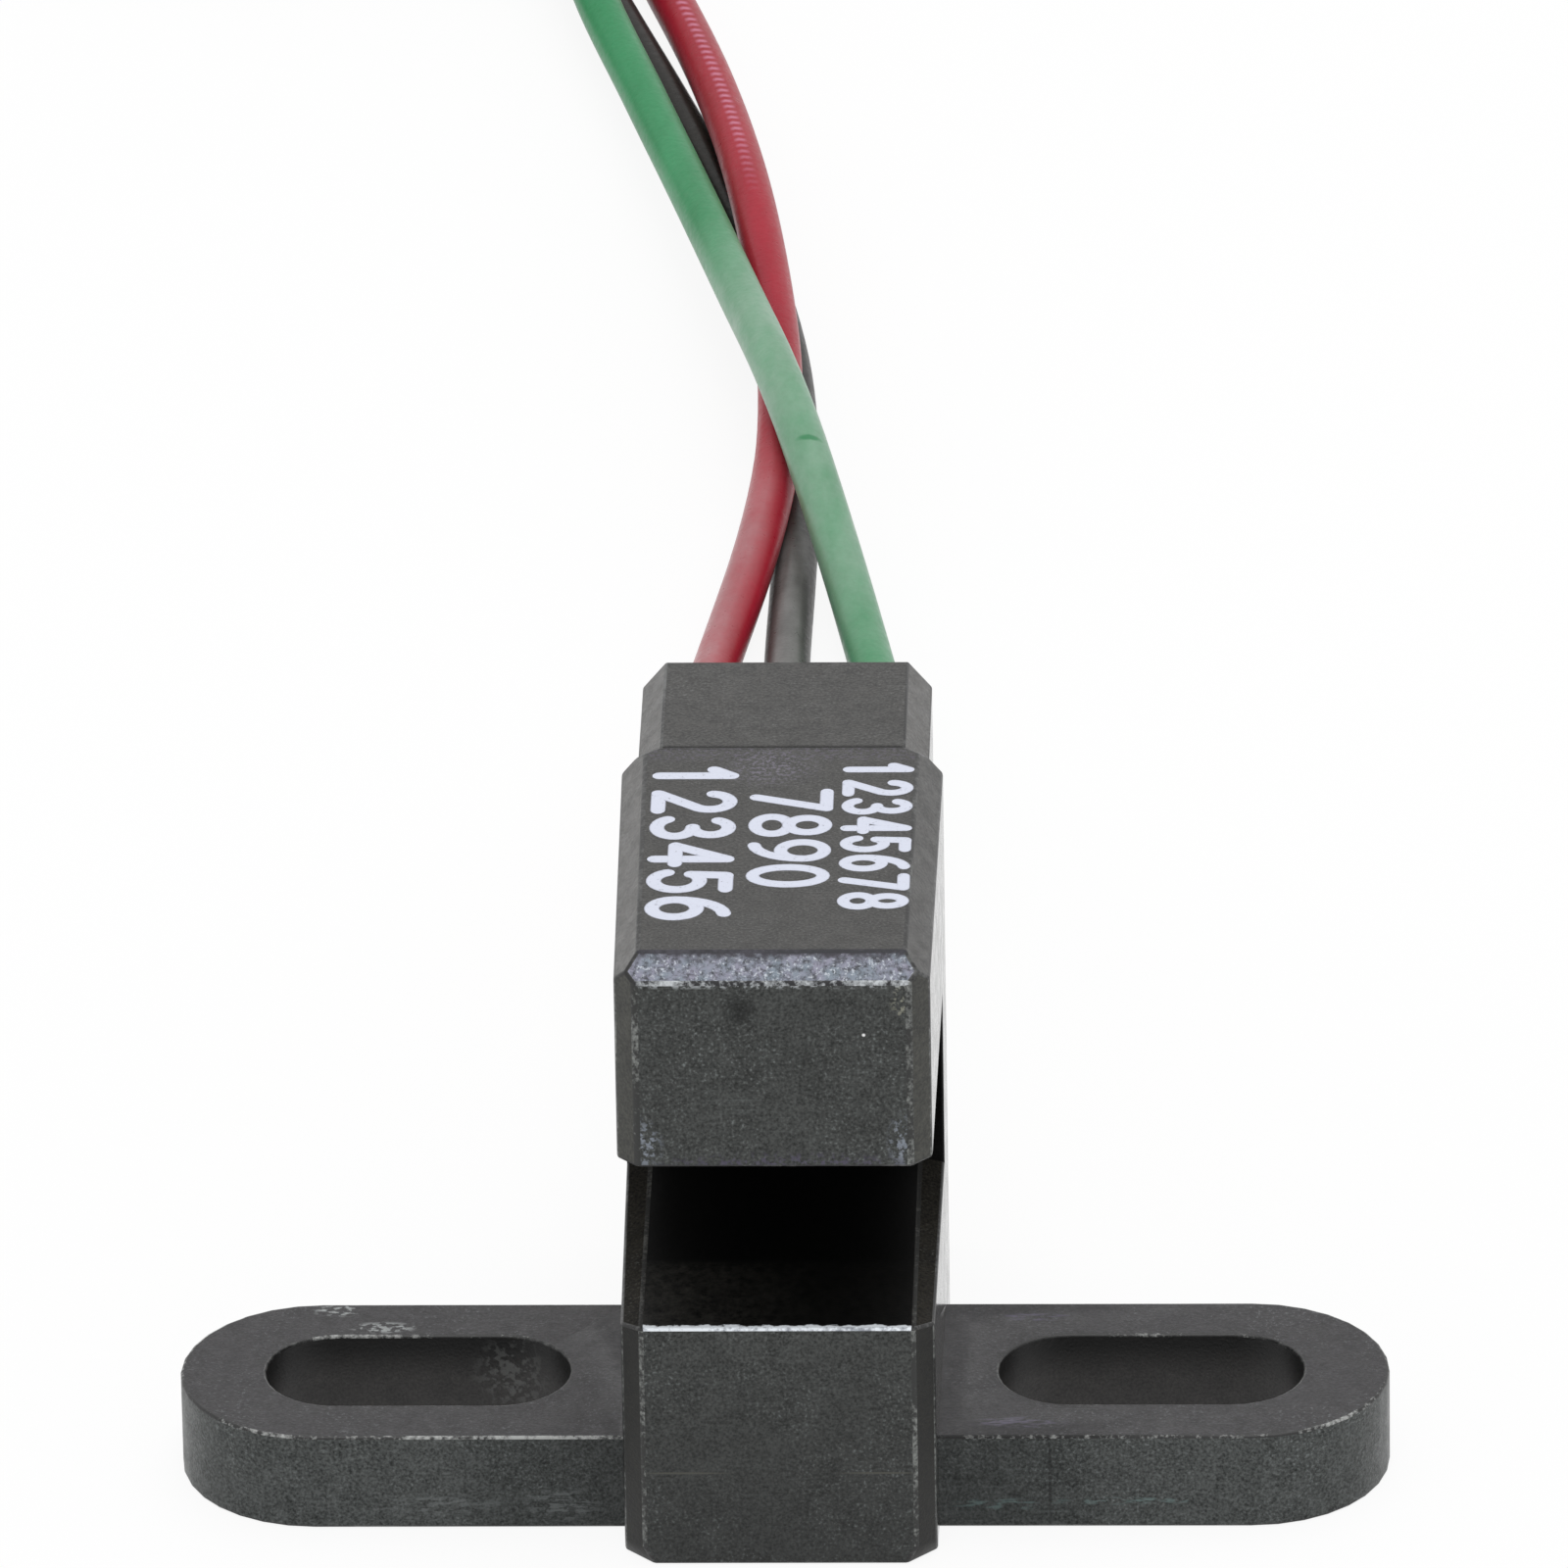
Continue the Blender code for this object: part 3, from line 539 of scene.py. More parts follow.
def painted_haze_cover(tree, place, facing, along, painted_haze):
    """How much pale haze is painted on a lead as painted sheen: uneven, and only on the given stretches
    and sides.
    """
    haze_amount = noise(tree, stretched(tree, place, (1.4, 0.7, 1.4)), 1.0, 4.0, 0.65)
    haze_amount = ramp(tree, haze_amount, 0.3, 0.7, 0.55, 1.0)
    for low, high, least in painted_haze["along"]:
        haze_amount = math_node(tree, "MULTIPLY", haze_amount, ramp(tree, along, low, high, least, 1.0))
    for low, high in painted_haze["across"]:
        haze_amount = math_node(tree, "MULTIPLY", haze_amount, ramp(tree, facing["X"], low, high))
    return haze_amount


def painted_glint_row(tree, facing, along, painted_glints):
    """A row of painted glints along a lead's crest."""
    wave = math_node(tree, "SINE", math_node(tree, "MULTIPLY", along, math.tau / GLINT_SPACING))
    crest = ramp(tree, facing["Z"], 0.95, 0.995)
    shine = math_node(tree, "MULTIPLY", ramp(tree, wave, -0.6, 1.0), crest)
    return math_node(tree, "MULTIPLY", shine, ramp(tree, along, *painted_glints["along"]))


def insulation(name, dark, light, roughness, painted_haze=None, spots=(), painted_glints=None):
    """Soft wire insulation: a drift of tone, a fine skin, and along some of it a pale haze of painted
    sheen and a row of painted glints.
    """
    made, tree, shader, place = start_material(name, roughness)
    shader.inputs["Specular IOR Level"].default_value = 0.1
    drift = noise(tree, stretched(tree, place, (2.2, 0.5, 2.2)), 0.6, 3.0)
    grain = ramp(tree, noise(tree, place, 7.0, 3.0, 0.7), 0.3, 0.7)
    tone = math_node(tree, "ADD", math_node(tree, "MULTIPLY", ramp(tree, drift, 0.3, 0.7), 0.55),
                     math_node(tree, "MULTIPLY", grain, 0.45))
    colour = blend_colours(tree, tone, dark, light)
    facing = add_node(tree, "SeparateXYZ", {0: add_node(tree, "TexCoord").outputs["Normal"]}).outputs
    along = add_node(tree, "SeparateXYZ", {0: place}).outputs["Y"]
    # Painted sheen: a pale haze on stretches along Y and on the sides that face one way.
    if painted_haze:
        haze_amount = painted_haze_cover(tree, place, facing, along, painted_haze)
        share = math_node(tree, "MULTIPLY", haze_amount, painted_haze["share"])
        colour = blend_colours(tree, share, colour, painted_haze["colour"])
        tree.links.new(ramp(tree, haze_amount, 0.0, 1.0, 0.1, 0.35), shader.inputs["Specular IOR Level"])
        shader.inputs["Sheen Weight"].default_value = painted_haze["rim"]
        shader.inputs["Sheen Roughness"].default_value = 0.35
    if painted_glints:
        colour = blend_colours(tree, painted_glint_row(tree, facing, along, painted_glints), colour, painted_glints["colour"])
    colour = with_spots(tree, place, colour, spots)
    tree.links.new(colour, shader.inputs["Base Color"])
    skin = noise(tree, place, 6.0, 3.0, 0.6)
    spread = ramp(tree, skin, 0.3, 0.7, roughness - 0.06, roughness + 0.08)
    tree.links.new(spread, shader.inputs["Roughness"])
    add_bump(tree, shader, skin, 0.006 * MM)
    return made


def printed(name):
    """White ink, thin enough in places for the grain to show."""
    made, tree, shader, place = start_material(name, 0.55)
    voids = ramp(tree, noise(tree, place, 9.0, 3.0, 0.7), 0.60, 0.76)
    colour = blend_colours(tree, voids, (0.66, 0.69, 0.80), (0.30, 0.31, 0.37))
    tree.links.new(colour, shader.inputs["Base Color"])
    add_bump(tree, shader, noise(tree, place, GRAIN_SCALE, 2.0), GRAIN_DEPTH / 2)
    return made


def drawn_metal(name, dark, light, roughness):
    """Metal with fine lines along the leads."""
    made, tree, shader, place = start_material(name, roughness, metallic=1.0)
    lines = noise(tree, stretched(tree, place, (14.0, 0.8, 14.0)), 1.0, 3.0)
    colour = blend_colours(tree, ramp(tree, lines, 0.3, 0.7), dark, light)
    tree.links.new(colour, shader.inputs["Base Color"])
    add_bump(tree, shader, lines, 0.004 * MM)
    return made


def cast_resin(name):
    """Cured potting: glossy black, with the slow waves of its set surface and small bubbles."""
    made, tree, shader, place = start_material(name, 0.16)
    bubbles = add_node(tree, "TexVoronoi", {"Vector": place, "Scale": 2.0}).outputs["Distance"]
    pits = ramp(tree, bubbles, 0.1, 0.2)
    cloud = noise(tree, place, 1.5, 3.0)
    colour = blend_colours(tree, cloud, (0.008, 0.008, 0.009), (0.02, 0.02, 0.022))
    tree.links.new(colour, shader.inputs["Base Color"])
    height = math_node(tree, "ADD", noise(tree, place, 0.8), math_node(tree, "MULTIPLY", pits, 0.25))
    add_bump(tree, shader, height, 0.08 * MM)
    return made


def sintered(name):
    """Magnet and chip package: fine dark grain."""
    made, tree, shader, place = start_material(name, 0.5)
    grain = noise(tree, place, 8.0, 4.0, 0.7)
    colour = blend_colours(tree, ramp(tree, grain, 0.35, 0.65), (0.02, 0.02, 0.021), (0.06, 0.06, 0.063))
    tree.links.new(colour, shader.inputs["Base Color"])
    add_bump(tree, shader, grain, 0.01 * MM)
    return made


def flat_faces(node, name):
    """A copy of a CAD node's mesh with its flat faces made whole."""
    mesh = frame["nodes"][node].data.copy()
    mesh.name = name
    bm = bmesh.new()
    bm.from_mesh(mesh)
    bmesh.ops.remove_doubles(bm, verts=bm.verts, dist=MERGE)
    bmesh.ops.dissolve_limit(bm, angle_limit=FLAT_ANGLE, verts=bm.verts, edges=bm.edges)
    bm.to_mesh(mesh)
    bm.free()
    mesh.materials.clear()
    return mesh


def mark_edges(mesh, weigh):
    """Give each sharp outer edge the usual bevel weight, and any edge what weigh says if it is more."""
    bm = bmesh.new()
    bm.from_mesh(mesh)
    weight = bm.edges.layers.float.new("bevel_weight_edge")
    for edge in bm.edges:
        ends = [vert.co for vert in edge.verts]
        usual = EDGE_SHARE if edge.is_convex and edge.calc_face_angle(0.0) > SHARP_ANGLE else 0.0
        edge[weight] = max(usual, weigh((ends[0] + ends[1]) / 2, (ends[1] - ends[0]).normalized()))
    bm.to_mesh(mesh)
    bm.free()


def refined(node, name, surfaces, choose):
    """A CAD node's shape with rounded edges, each face with the surface that choose gives it."""
    mesh = flat_faces(node, name)
    mark_edges(mesh, edge_weight)
    order = list(surfaces)
    for surface in order:
        mesh.materials.append(surfaces[surface])
    shell = add_object(name, mesh)
    bevel = shell.modifiers.new("rounded edges", "BEVEL")
    bevel.width = EDGE_WIDTH
    bevel.segments = EDGE_SEGMENTS
    bevel.limit_method = "WEIGHT"
    bevel.material = order.index("edge")
    graph = bpy.context.evaluated_depsgraph_get()
    shell.data = bpy.data.meshes.new_from_object(shell.evaluated_get(graph))
    shell.modifiers.clear()
    shell.data.shade_smooth()
    normals = shell.modifiers.new("flat faces", "WEIGHTED_NORMAL")
    normals.weight = 100
    for face in shell.data.polygons:
        on_edge = face.material_index == order.index("edge")
        face.material_index = order.index(choose(face, on_edge))
    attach(shell, "root")
    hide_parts(node)


def edge_weight(middle, along):
    """The bevel weight of the upper arm's front uprights and of the ridges beside the gap's floor."""
    if abs(along.z) > 0.9 and abs(middle.y - FRONT_Y) < MERGE and middle.z > GAP_TOP:
        return UPPER_FRONT_SHARE
    on_floor = abs(middle.z - LOWER_ARM_HEIGHT) < MERGE
    on_ridge = on_floor and abs(along.y) > 0.9 and middle.y < FRONT_Y + VANE_DEPTH - EDGE_WIDTH
    return RIDGE_SHARE if on_ridge else 0.0


def within_slot_width(middle):
    """Whether a place is no further forward or back than an ear slot and its rim."""
    return abs(middle.y - EAR_Y) < EAR_SLOT_WIDTH / 2 + EDGE_WIDTH


def housing_surface(face, on_edge):
    """Which surface a face of the housing or its cap has."""
    middle, normal = face.center, face.normal
    out = abs(middle.x)
    if on_edge:
        return edge_surface(middle, normal)
    if normal.y < -0.4 and normal.z > 0.4 and middle.z > GAP_TOP:
        return "scuffed"
    if middle.z < EAR_THICKNESS and abs(normal.z) < 0.2 and out > EAR_SLOT_START - EDGE_WIDTH:
        in_slot = within_slot_width(middle) and out < EAR_SLOT_END + EDGE_WIDTH
        return "slot wall" if in_slot else "ear front"
    in_gap = LOWER_ARM_HEIGHT < middle.z < GAP_TOP and middle.y < SEAM_Y - EDGE_WIDTH
    if abs(normal.y) > 0.9 and in_gap:
        return "gap wall"
    if normal.y < -0.9:
        return "front" if out < FRONT_WIDTH / 2 else "ear front"
    if normal.y < -0.5 and abs(normal.x) > 0.5:
        return "corner"
    if abs(normal.x) > 0.95 and middle.z > EAR_THICKNESS:
        return "side"
    if normal.z > 0.9:
        return top_surface(middle, normal)
    if normal.z > 0.4 and abs(normal.x) > 0.4:
        return "cap chamfer" if middle.y > SEAM_Y else "left chamfer" if middle.x < 0 else "plain"
    return "plain"


def edge_surface(middle, normal):
    """Which surface a rounded edge has."""
    out = abs(middle.x)
    if abs(middle.z - LOWER_ARM_HEIGHT) < EDGE_WIDTH:
        if middle.y < FRONT_Y + EDGE_WIDTH and abs(normal.x) < 0.2:
            return "lip"
        if normal.z > 0.9 and out < FRONT_WIDTH / 2:
            return "ridge"
    on_ear = out > FRONT_WIDTH / 2 + EDGE_WIDTH and middle.z < EAR_THICKNESS + EDGE_WIDTH
    if on_ear and normal.z > 0.1:
        near_end = EAR_SLOT_END - RIM_END < out < EAR_SLOT_END + EDGE_WIDTH
        near_start = out < EAR_SLOT_START + RIM_END
        return "edge" if within_slot_width(middle) and (near_start or near_end) else "ear edge"
    in_gap = FRONT_Y + CORNER_CHAMFER < middle.y < SEAM_Y - EDGE_WIDTH
    if in_gap and LOWER_ARM_HEIGHT < middle.z < GAP_TOP:
        return "gap wall"
    slope_start = HOUSING_HEIGHT - CHAMFER
    on_slope = middle.y < FRONT_Y + CHAMFER + EDGE_WIDTH and middle.z > slope_start - EDGE_WIDTH
    if on_slope and out < FRONT_WIDTH / 2 - CORNER_CHAMFER:
        low = middle.z < slope_start + EDGE_WIDTH and abs(normal.x) < 0.2
        return "chipped edge" if low else "slope edge"
    on_front = middle.y < FRONT_Y + CORNER_CHAMFER and EAR_THICKNESS < middle.z < slope_start
    return "front edge" if on_front and abs(normal.z) < 0.2 else "edge"


def top_surface(middle, normal):
    """Which surface a face that looks up has."""
    if abs(middle.z - LOWER_ARM_HEIGHT) < LEVEL_REACH:
        return "gap floor" if normal.z > 0.999 else "gap edge"
    if abs(middle.z - EAR_THICKNESS) < LEVEL_REACH:
        return "ear top"
    if middle.z > HOUSING_HEIGHT - MERGE:
        return "top"
    return "cap top" if middle.z > GAP_TOP else "plain"


def arc(middle_x, middle_y, reach_x, reach_y, start, end):
    """Points on an ellipse between two angles in degrees."""
    count = max(2, round(abs(end - start) / ARC_STEP))
    angles = [math.radians(start + (end - start) * step / count) for step in range(count + 1)]
    return [(middle_x + reach_x * math.cos(a), middle_y + reach_y * math.sin(a)) for a in angles]


def digit_strokes(digit):
    """The strokes of a digit in a unit box."""
    return {
        "0": [arc(0.5, 0.5, 0.5, 0.5, 90, 450)],
        "1": [[(0.18, 0.76), (0.52, 1.0), (0.52, 0.0)]],
        "2": [arc(0.5, 0.72, 0.44, 0.28, 170, -35) + [(0.04, 0.0), (0.98, 0.0)]],
        "3": [arc(0.46, 0.75, 0.42, 0.25, 155, -90), arc(0.46, 0.25, 0.5, 0.25, 90, -155)],
        "4": [[(0.74, 0.0), (0.74, 1.0), (0.0, 0.28), (1.0, 0.28)]],
        "5": [[(0.92, 1.0), (0.16, 1.0), (0.1, 0.52)] + arc(0.46, 0.32, 0.5, 0.32, 130, -155)],
        "6": [arc(0.5, 0.31, 0.48, 0.31, 180, 540), arc(0.86, 0.31, 0.84, 0.69, 180, 95)],
        "7": [[(0.02, 1.0), (0.98, 1.0), (0.34, 0.0)]],
        "8": [arc(0.5, 0.74, 0.42, 0.26, 90, 450), arc(0.5, 0.24, 0.5, 0.24, 90, 450)],
        "9": [arc(0.5, 0.69, 0.48, 0.31, 0, 360), arc(0.14, 0.69, 0.84, 0.69, 0, -85)],
    }[digit]


def split_at_corners(stroke):
    """The stroke cut into pieces where it turns sharply."""
    pieces = [[stroke[0]]]
    for before, here, after in zip(stroke, stroke[1:], stroke[2:] + [None]):
        pieces[-1].append(here)
        if after:
            first = math.atan2(here[1] - before[1], here[0] - before[0])
            second = math.atan2(after[1] - here[1], after[0] - here[0])
            turn = abs(math.remainder(second - first, math.tau))
            if turn > STROKE_TURN:
                pieces.append([here])
    return pieces


def add_stroke(curve, points, reach):
    """A stroke of the pen through the points, closed or with round ends."""
    points = [Vector(point) for point in points]
    closed = (points[0] - points[-1]).length < MERGE
    if closed:
        places = [(point, 1.0) for point in points[:-1]]
    else:
        first = (points[0] - points[1]).normalized()
        last = (points[-1] - points[-2]).normalized()
        places = [(points[0] + first * reach * along, wide) for along, wide in STROKE_END]
        places += [(point, 1.0) for point in points]
        places += [(points[-1] + last * reach * along, wide) for along, wide in reversed(STROKE_END)]
    spline = curve.splines.new("POLY")
    spline.use_cyclic_u = closed
    spline.points.add(len(places) - 1)
    for point, (place, wide) in zip(spline.points, places):
        point.co = (*place, 1)
        point.radius = wide


def build_print(name, row, surface):
    """A row of drawn digits on the top face, read from the leads towards the vane slot."""
    curve = bpy.data.curves.new(name, "CURVE")
    curve.dimensions = "3D"
    inset = row["stroke"] * MM / 2
    curve.bevel_depth = inset
    curve.bevel_resolution = STROKE_ROUNDNESS
    curve.use_fill_caps = True
    low_x, high_x = (x * MM for x in row["across"])
    start_y, end_y = (y * MM for y in row["along"])
    pitch = (start_y - end_y) / (len(row["digits"]) - DIGIT_SPACE)
    width = pitch * (1 - DIGIT_SPACE) - 2 * inset
    rise = high_x - low_x - 2 * inset
    for index, digit in enumerate(row["digits"]):
        first = start_y - index * pitch - inset
        for stroke in digit_strokes(digit):
            for piece in split_at_corners(stroke):
                lift = len(curve.splines) % STROKE_LEVELS * STROKE_LIFT
                points = [(low_x + inset + up * rise, first - over * width, lift) for over, up in piece]
                add_stroke(curve, points, inset)
    curve.materials.append(surface)
    printed_row = add_object(name, curve)
    flattened = Matrix.Diagonal((1, 1, PRINT_FLATNESS, 1))
    printed_row.matrix_world = Matrix.Translation((0, 0, HOUSING_HEIGHT)) @ flattened
    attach(printed_row, "root")


def build_strands(colour, lead, surface):
    """The lead's bare end: tinned strands twisted round a middle one."""
    turn = Matrix.Rotation(math.radians(lead["end_angle"]), 4, "Z")
    level = COIL_LOWEST + lead["level"] * COIL_PITCH
    start = COIL_CENTRE + turn @ Vector((END_RADIUS, -END_LENGTH / 2, level))
    curve = bpy.data.curves.new(colour + "_strands", "CURVE")
    curve.dimensions = "3D"
    curve.bevel_depth = STRAND_DIAMETER / 2
    curve.bevel_resolution = STRAND_ROUNDNESS
    curve.use_fill_caps = True
    for strand in range(STRANDS):
        spline = curve.splines.new("POLY")
        spline.points.add(STRAND_STEPS)
        out = STRAND_DIAMETER if strand else 0.0
        for step in range(STRAND_STEPS + 1):
            share = step / STRAND_STEPS
            angle = math.tau * (strand / (STRANDS - 1) + share * STRAND_TURNS)
            offset = Vector((out * math.cos(angle), share * END_LENGTH, out * math.sin(angle)))
            spline.points[step].co = (*(start + turn @ offset), 1)
        spline.use_smooth = True
    curve.materials.append(surface)
    strands = add_object(colour + "_strands", curve)
    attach(strands, "root")
    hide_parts(colour + "_wire_end")
    return strands


def seen_directly(tree):
    """One for rays from the camera, mirrored rays and rays through glass, and nothing for the rest."""
    path = add_node(tree, "LightPath").outputs
    seen = math_node(tree, "MAXIMUM", path["Is Camera Ray"], path["Is Glossy Ray"])
    return math_node(tree, "MAXIMUM", seen, path["Is Transmission Ray"])


def build_floor():
    """A white floor that keeps a faint shadow of the object."""
    mesh = bpy.data.meshes.new("floor")
    bm = bmesh.new()
    bmesh.ops.create_grid(bm, x_segments=1, y_segments=1, size=FLOOR_SIZE / 2)
    bm.to_mesh(mesh)
    bm.free()
    floor = add_object("floor", mesh)
    surface, tree, shader, place = start_material("floor_white", 0.9)
    paper = blend_colours(tree, noise(tree, place, 0.02), (0.93, 0.93, 0.93), (0.95, 0.95, 0.95))
    tree.links.new(paper, shader.inputs["Base Color"])
    shader.inputs["Specular IOR Level"].default_value = 0.0
    glow = add_node(tree, "Emission", {"Color": (1, 1, 1, 1), "Strength": 1.0})
    share = math_node(tree, "MULTIPLY", seen_directly(tree), FLOOR_GLOW)
    mixed = add_node(tree, "MixShader", {0: share, 1: shader.outputs[0], 2: glow.outputs[0]})
    tree.links.new(mixed.outputs[0], tree.nodes["Material Output"].inputs["Surface"])
    mesh.materials.append(surface)
    floor.location.z = -FLOOR_GAP


def build_lamp(name, size, power, place):
    """A square soft lamp that looks at the body."""
    data = bpy.data.lights.new(name, "AREA")
    data.shape = "SQUARE"
    data.size = size
    data.energy = power
    lamp = add_object(name, data)
    lamp.matrix_world = (place - LAMP_TARGET).to_track_quat("Z", "Y").to_matrix().to_4x4()
    lamp.location = place


def build_light():
    """A white surround, dimmer where it only lights, and two soft lamps."""
    world = bpy.data.worlds.new("studio")
    bpy.context.scene.world = world
    world.use_nodes = True
    tree = world.node_tree
    share = add_node(tree, "MapRange", {"Value": seen_directly(tree), 3: WORLD_LEVEL, 4: 1.0})
    tree.links.new(share.outputs["Result"], tree.nodes["Background"].inputs["Strength"])
    tree.nodes["Background"].inputs["Color"].default_value = (1, 1, 1, 1)
    build_lamp("key", KEY_SIZE, KEY_POWER, KEY_PLACE)
    build_lamp("overhead", OVERHEAD_SIZE, OVERHEAD_POWER, OVERHEAD_PLACE)


def dress_nodes(surfaces):
    """The small CAD nodes that are not hidden get their finished materials."""
    for entry in frame["record"]["subparts"]:
        surface = surfaces.get(entry["material_slot"])
        node = frame["nodes"][entry["node"]]
        if surface and not node.hide_render:
            node.data.materials.clear()
            node.data.materials.append(surface)


def lead_looks():
    """The three leads' insulation, with the stretches of its painted sheen along Y and across the lead."""
    return {
        "red": insulation(
            "red_insulation_look", (0.30, 0.005, 0.018), (0.395, 0.009, 0.029), 0.32,
            painted_haze={
                "along": [(42.0, 38.0, 0.0), (25.0, 30.0, 0.0)],
                "across": [(0.8, 0.0)],
                "share": 0.40,
                "rim": 0.06,
                "colour": (0.45, 0.36, 0.37),
            },
            painted_glints={"along": (54.0, 58.0), "colour": (0.56, 0.17, 0.26)}),
        "black": insulation(
            "black_insulation_look", (0.006, 0.005, 0.004), (0.016, 0.014, 0.011), 0.32,
            painted_haze={
                "along": [(42.0, 37.0, 0.0), (25.0, 30.0, 0.0)],
                "across": [(0.85, 0.45), (-0.85, -0.45)],
                "share": 0.27,
                "rim": 0.08,
                "colour": (0.5, 0.49, 0.48),
            }),
        "green": insulation(
            "green_insulation_look", (0.026, 0.205, 0.076), (0.046, 0.285, 0.12), 0.34,
            painted_haze={
                "along": [(52.4, 46.0, 0.0), (32.0, 36.0, 0.3), (25.0, 30.0, 0.0)],
                "across": [],
                "share": 0.37,
                "rim": 0.1,
                "colour": (0.48, 0.56, 0.50),
            },
            # A darker green mark across the lead: painted shade of a crease.
            spots=[mark((-0.45, 40.1, 2.7), (0.35, 0.12, 0.6), (0.02, 0.2, 0.07), 0.8)]),
    }


def build_leads(tinned):
    """The three leads with their strands."""
    looks = lead_looks()
    for colour, lead in LEADS.items():
        build_lead(colour, lead, looks[colour], build_strands(colour, lead, tinned))


def seam_band(height, reach, colour, share, broken=None):
    """A stripe across the body beside the seam; a black one is a painted shadow line along the step
    between the housing and the cap.
    """
    return mark((0.0, SEAM_Y / MM, height), (BAND_REACH, reach, 9.0), colour, share, 0.25, broken)


def top_spots():
    """The marks on the top face, by the seam."""
    z = HOUSING_HEIGHT / MM
    return [
        # A black line along the seam: painted shadow at the step.
        seam_band(z, 0.14, BLACK, 0.9),
        seam_band(z, 0.7, (0.075, 0.065, 0.09), 0.7, FINE_BITS),
        mark((-0.2, 1.65, z), (1.15, 0.95, 1.0), (0.155, 0.14, 0.185), 0.75, 0.7, FINE_BITS),
    ]


def front_spots():
    """The marks on the front that have their own places."""
    y = FRONT_Y / MM
    ear = EAR_THICKNESS / MM
    pale, olive = (0.42, 0.47, 0.56), (0.25, 0.25, 0.2)
    violet, line = (0.07, 0.06, 0.10), (0.06, 0.06, 0.05)
    return [
        # The front darkened towards the bottom: painted shade near the floor.
        mark((0.0, y, 0.0), (9.0, 1.0, 6.0), BLACK, 0.45, 1.0),
        mark((-0.67, y, 13.08), (0.42, 1.0, 0.42), BLACK, 0.6, 0.7),
        mark((1.89, y, 12.49), (0.045, 1.0, 0.045), (0.8, 0.8, 0.8)),
        mark((-2.75, y, 9.9), (0.5, 1.0, 0.7), pale, 0.4, broken=FINE_BITS),
        mark((2.75, y, 10.0), (0.45, 1.0, 0.8), pale, 0.4, broken=FINE_BITS),
        mark((2.75, y, 13.3), (0.35, 1.0, 0.6), olive, 0.8, broken=FINE_BITS),
        mark((0.0, y, 13.75), (9.0, 1.0, 0.2), (0.5, 0.53, 0.55), 0.8, broken=FINE_BITS),
        mark((0.3, y, 9.4), (3.2, 1.0, 0.4), violet, 0.7, broken=FINE_BITS),
        mark((-2.0, y, ear), (1.1, 1.0, 0.03), line),
        mark((2.1, y, ear), (1.0, 1.0, 0.03), line),
    ]


def ear_spots():
    """The pale chips and scratches on the ears' tops."""
    z = EAR_THICKNESS / MM
    pale = (0.34, 0.36, 0.36)
    return [
        mark((-9.4, -0.1, z), (0.75, 0.5, 1.0), BLACK, broken=CHIP_BITS),
        mark((-9.5, 0.05, z), (0.6, 0.35, 1.0), pale, 0.9, broken=CHIP_BITS),
        mark((-8.5, -0.72, z), (0.8, 0.28, 1.0), pale, 0.9, broken=CHIP_BITS),
        mark((5.2, -0.3, z), (0.9, 0.2, 1.0), (0.07, 0.06, 0.10), broken=SCRATCH_BITS),
        mark((5.0, -4.9, z), (1.2, 0.3, 1.0), (0.09, 0.08, 0.12), broken=SCRATCH_BITS),
    ]


def ear_front_spots():
    """The scuffs low on the ears' fronts."""
    y = (EAR_Y - EAR_DEPTH / 2) / MM
    pale, teal = (0.17, 0.185, 0.185), (0.13, 0.185, 0.18)
    return [
        mark((-4.6, y, 0.55), (0.9, 1.0, 0.5), pale, 0.7, broken=SCRATCH_BITS),
        mark((-7.2, y, 0.55), (1.6, 1.0, 0.3), pale, 0.4, broken=SCRATCH_BITS),
        mark((4.6, y, 0.55), (1.3, 1.0, 0.16), teal, 0.8, broken=SCRATCH_BITS),
        mark((7.2, y, 0.62), (1.8, 1.0, 0.1), teal, 0.7, broken=SCRATCH_BITS),
        mark((5.6, y, 1.1), (0.05, 1.0, 1.2), BLACK, 0.5),
    ]


def upward_surfaces(black, painted_lighter):
    """The looks of the top, the cap's top and the chamfers beside them."""
    top, cap = HOUSING_HEIGHT / MM, CAP_HEIGHT / MM
    # Black bands by the seam on the top, the cap's top and the chamfers are painted shadow in the step
    # between housing and cap; by_seam also dulls the cap's reflection there.
    seam_place, seam_reach = (0.0, SEAM_Y / MM, cap), (BAND_REACH, 0.58, 9.0)
    by_seam = {"at": seam_place, "reach": seam_reach, "softness": 0.12, "level": 0.15}
    return {
        "top": moulded("top_look", *black, 0.36, marks=0.25, specular=0.37, spots=top_spots()),
        "cap top": moulded(
            "cap_top_look", *black, 0.36, marks=0.25, specular=0.38,
            spots=[seam_band(cap, 0.58, BLACK, 1.0)], dull=by_seam),
        # The cap's chamfers and the left chamfer take the paler pair: painted reflection.
        "cap chamfer": moulded(
            "cap_chamfer_look", *painted_lighter, 0.36, marks=0.25, specular=0.4,
            spots=[seam_band(cap, 0.45, BLACK, 1.0)]),
        "left chamfer": moulded(
            "left_chamfer_look", *painted_lighter, 0.36, marks=0.3, specular=0.4,
            spots=[seam_band(top, 0.14, BLACK, 0.8)]),
        "ear top": moulded(
            "ear_look", BLACK, (0.036, 0.033, 0.038), 0.38, marks=0.4, streaks=(0.6, 12.0, 1.0),
            specular=0.38, spots=ear_spots()),
    }


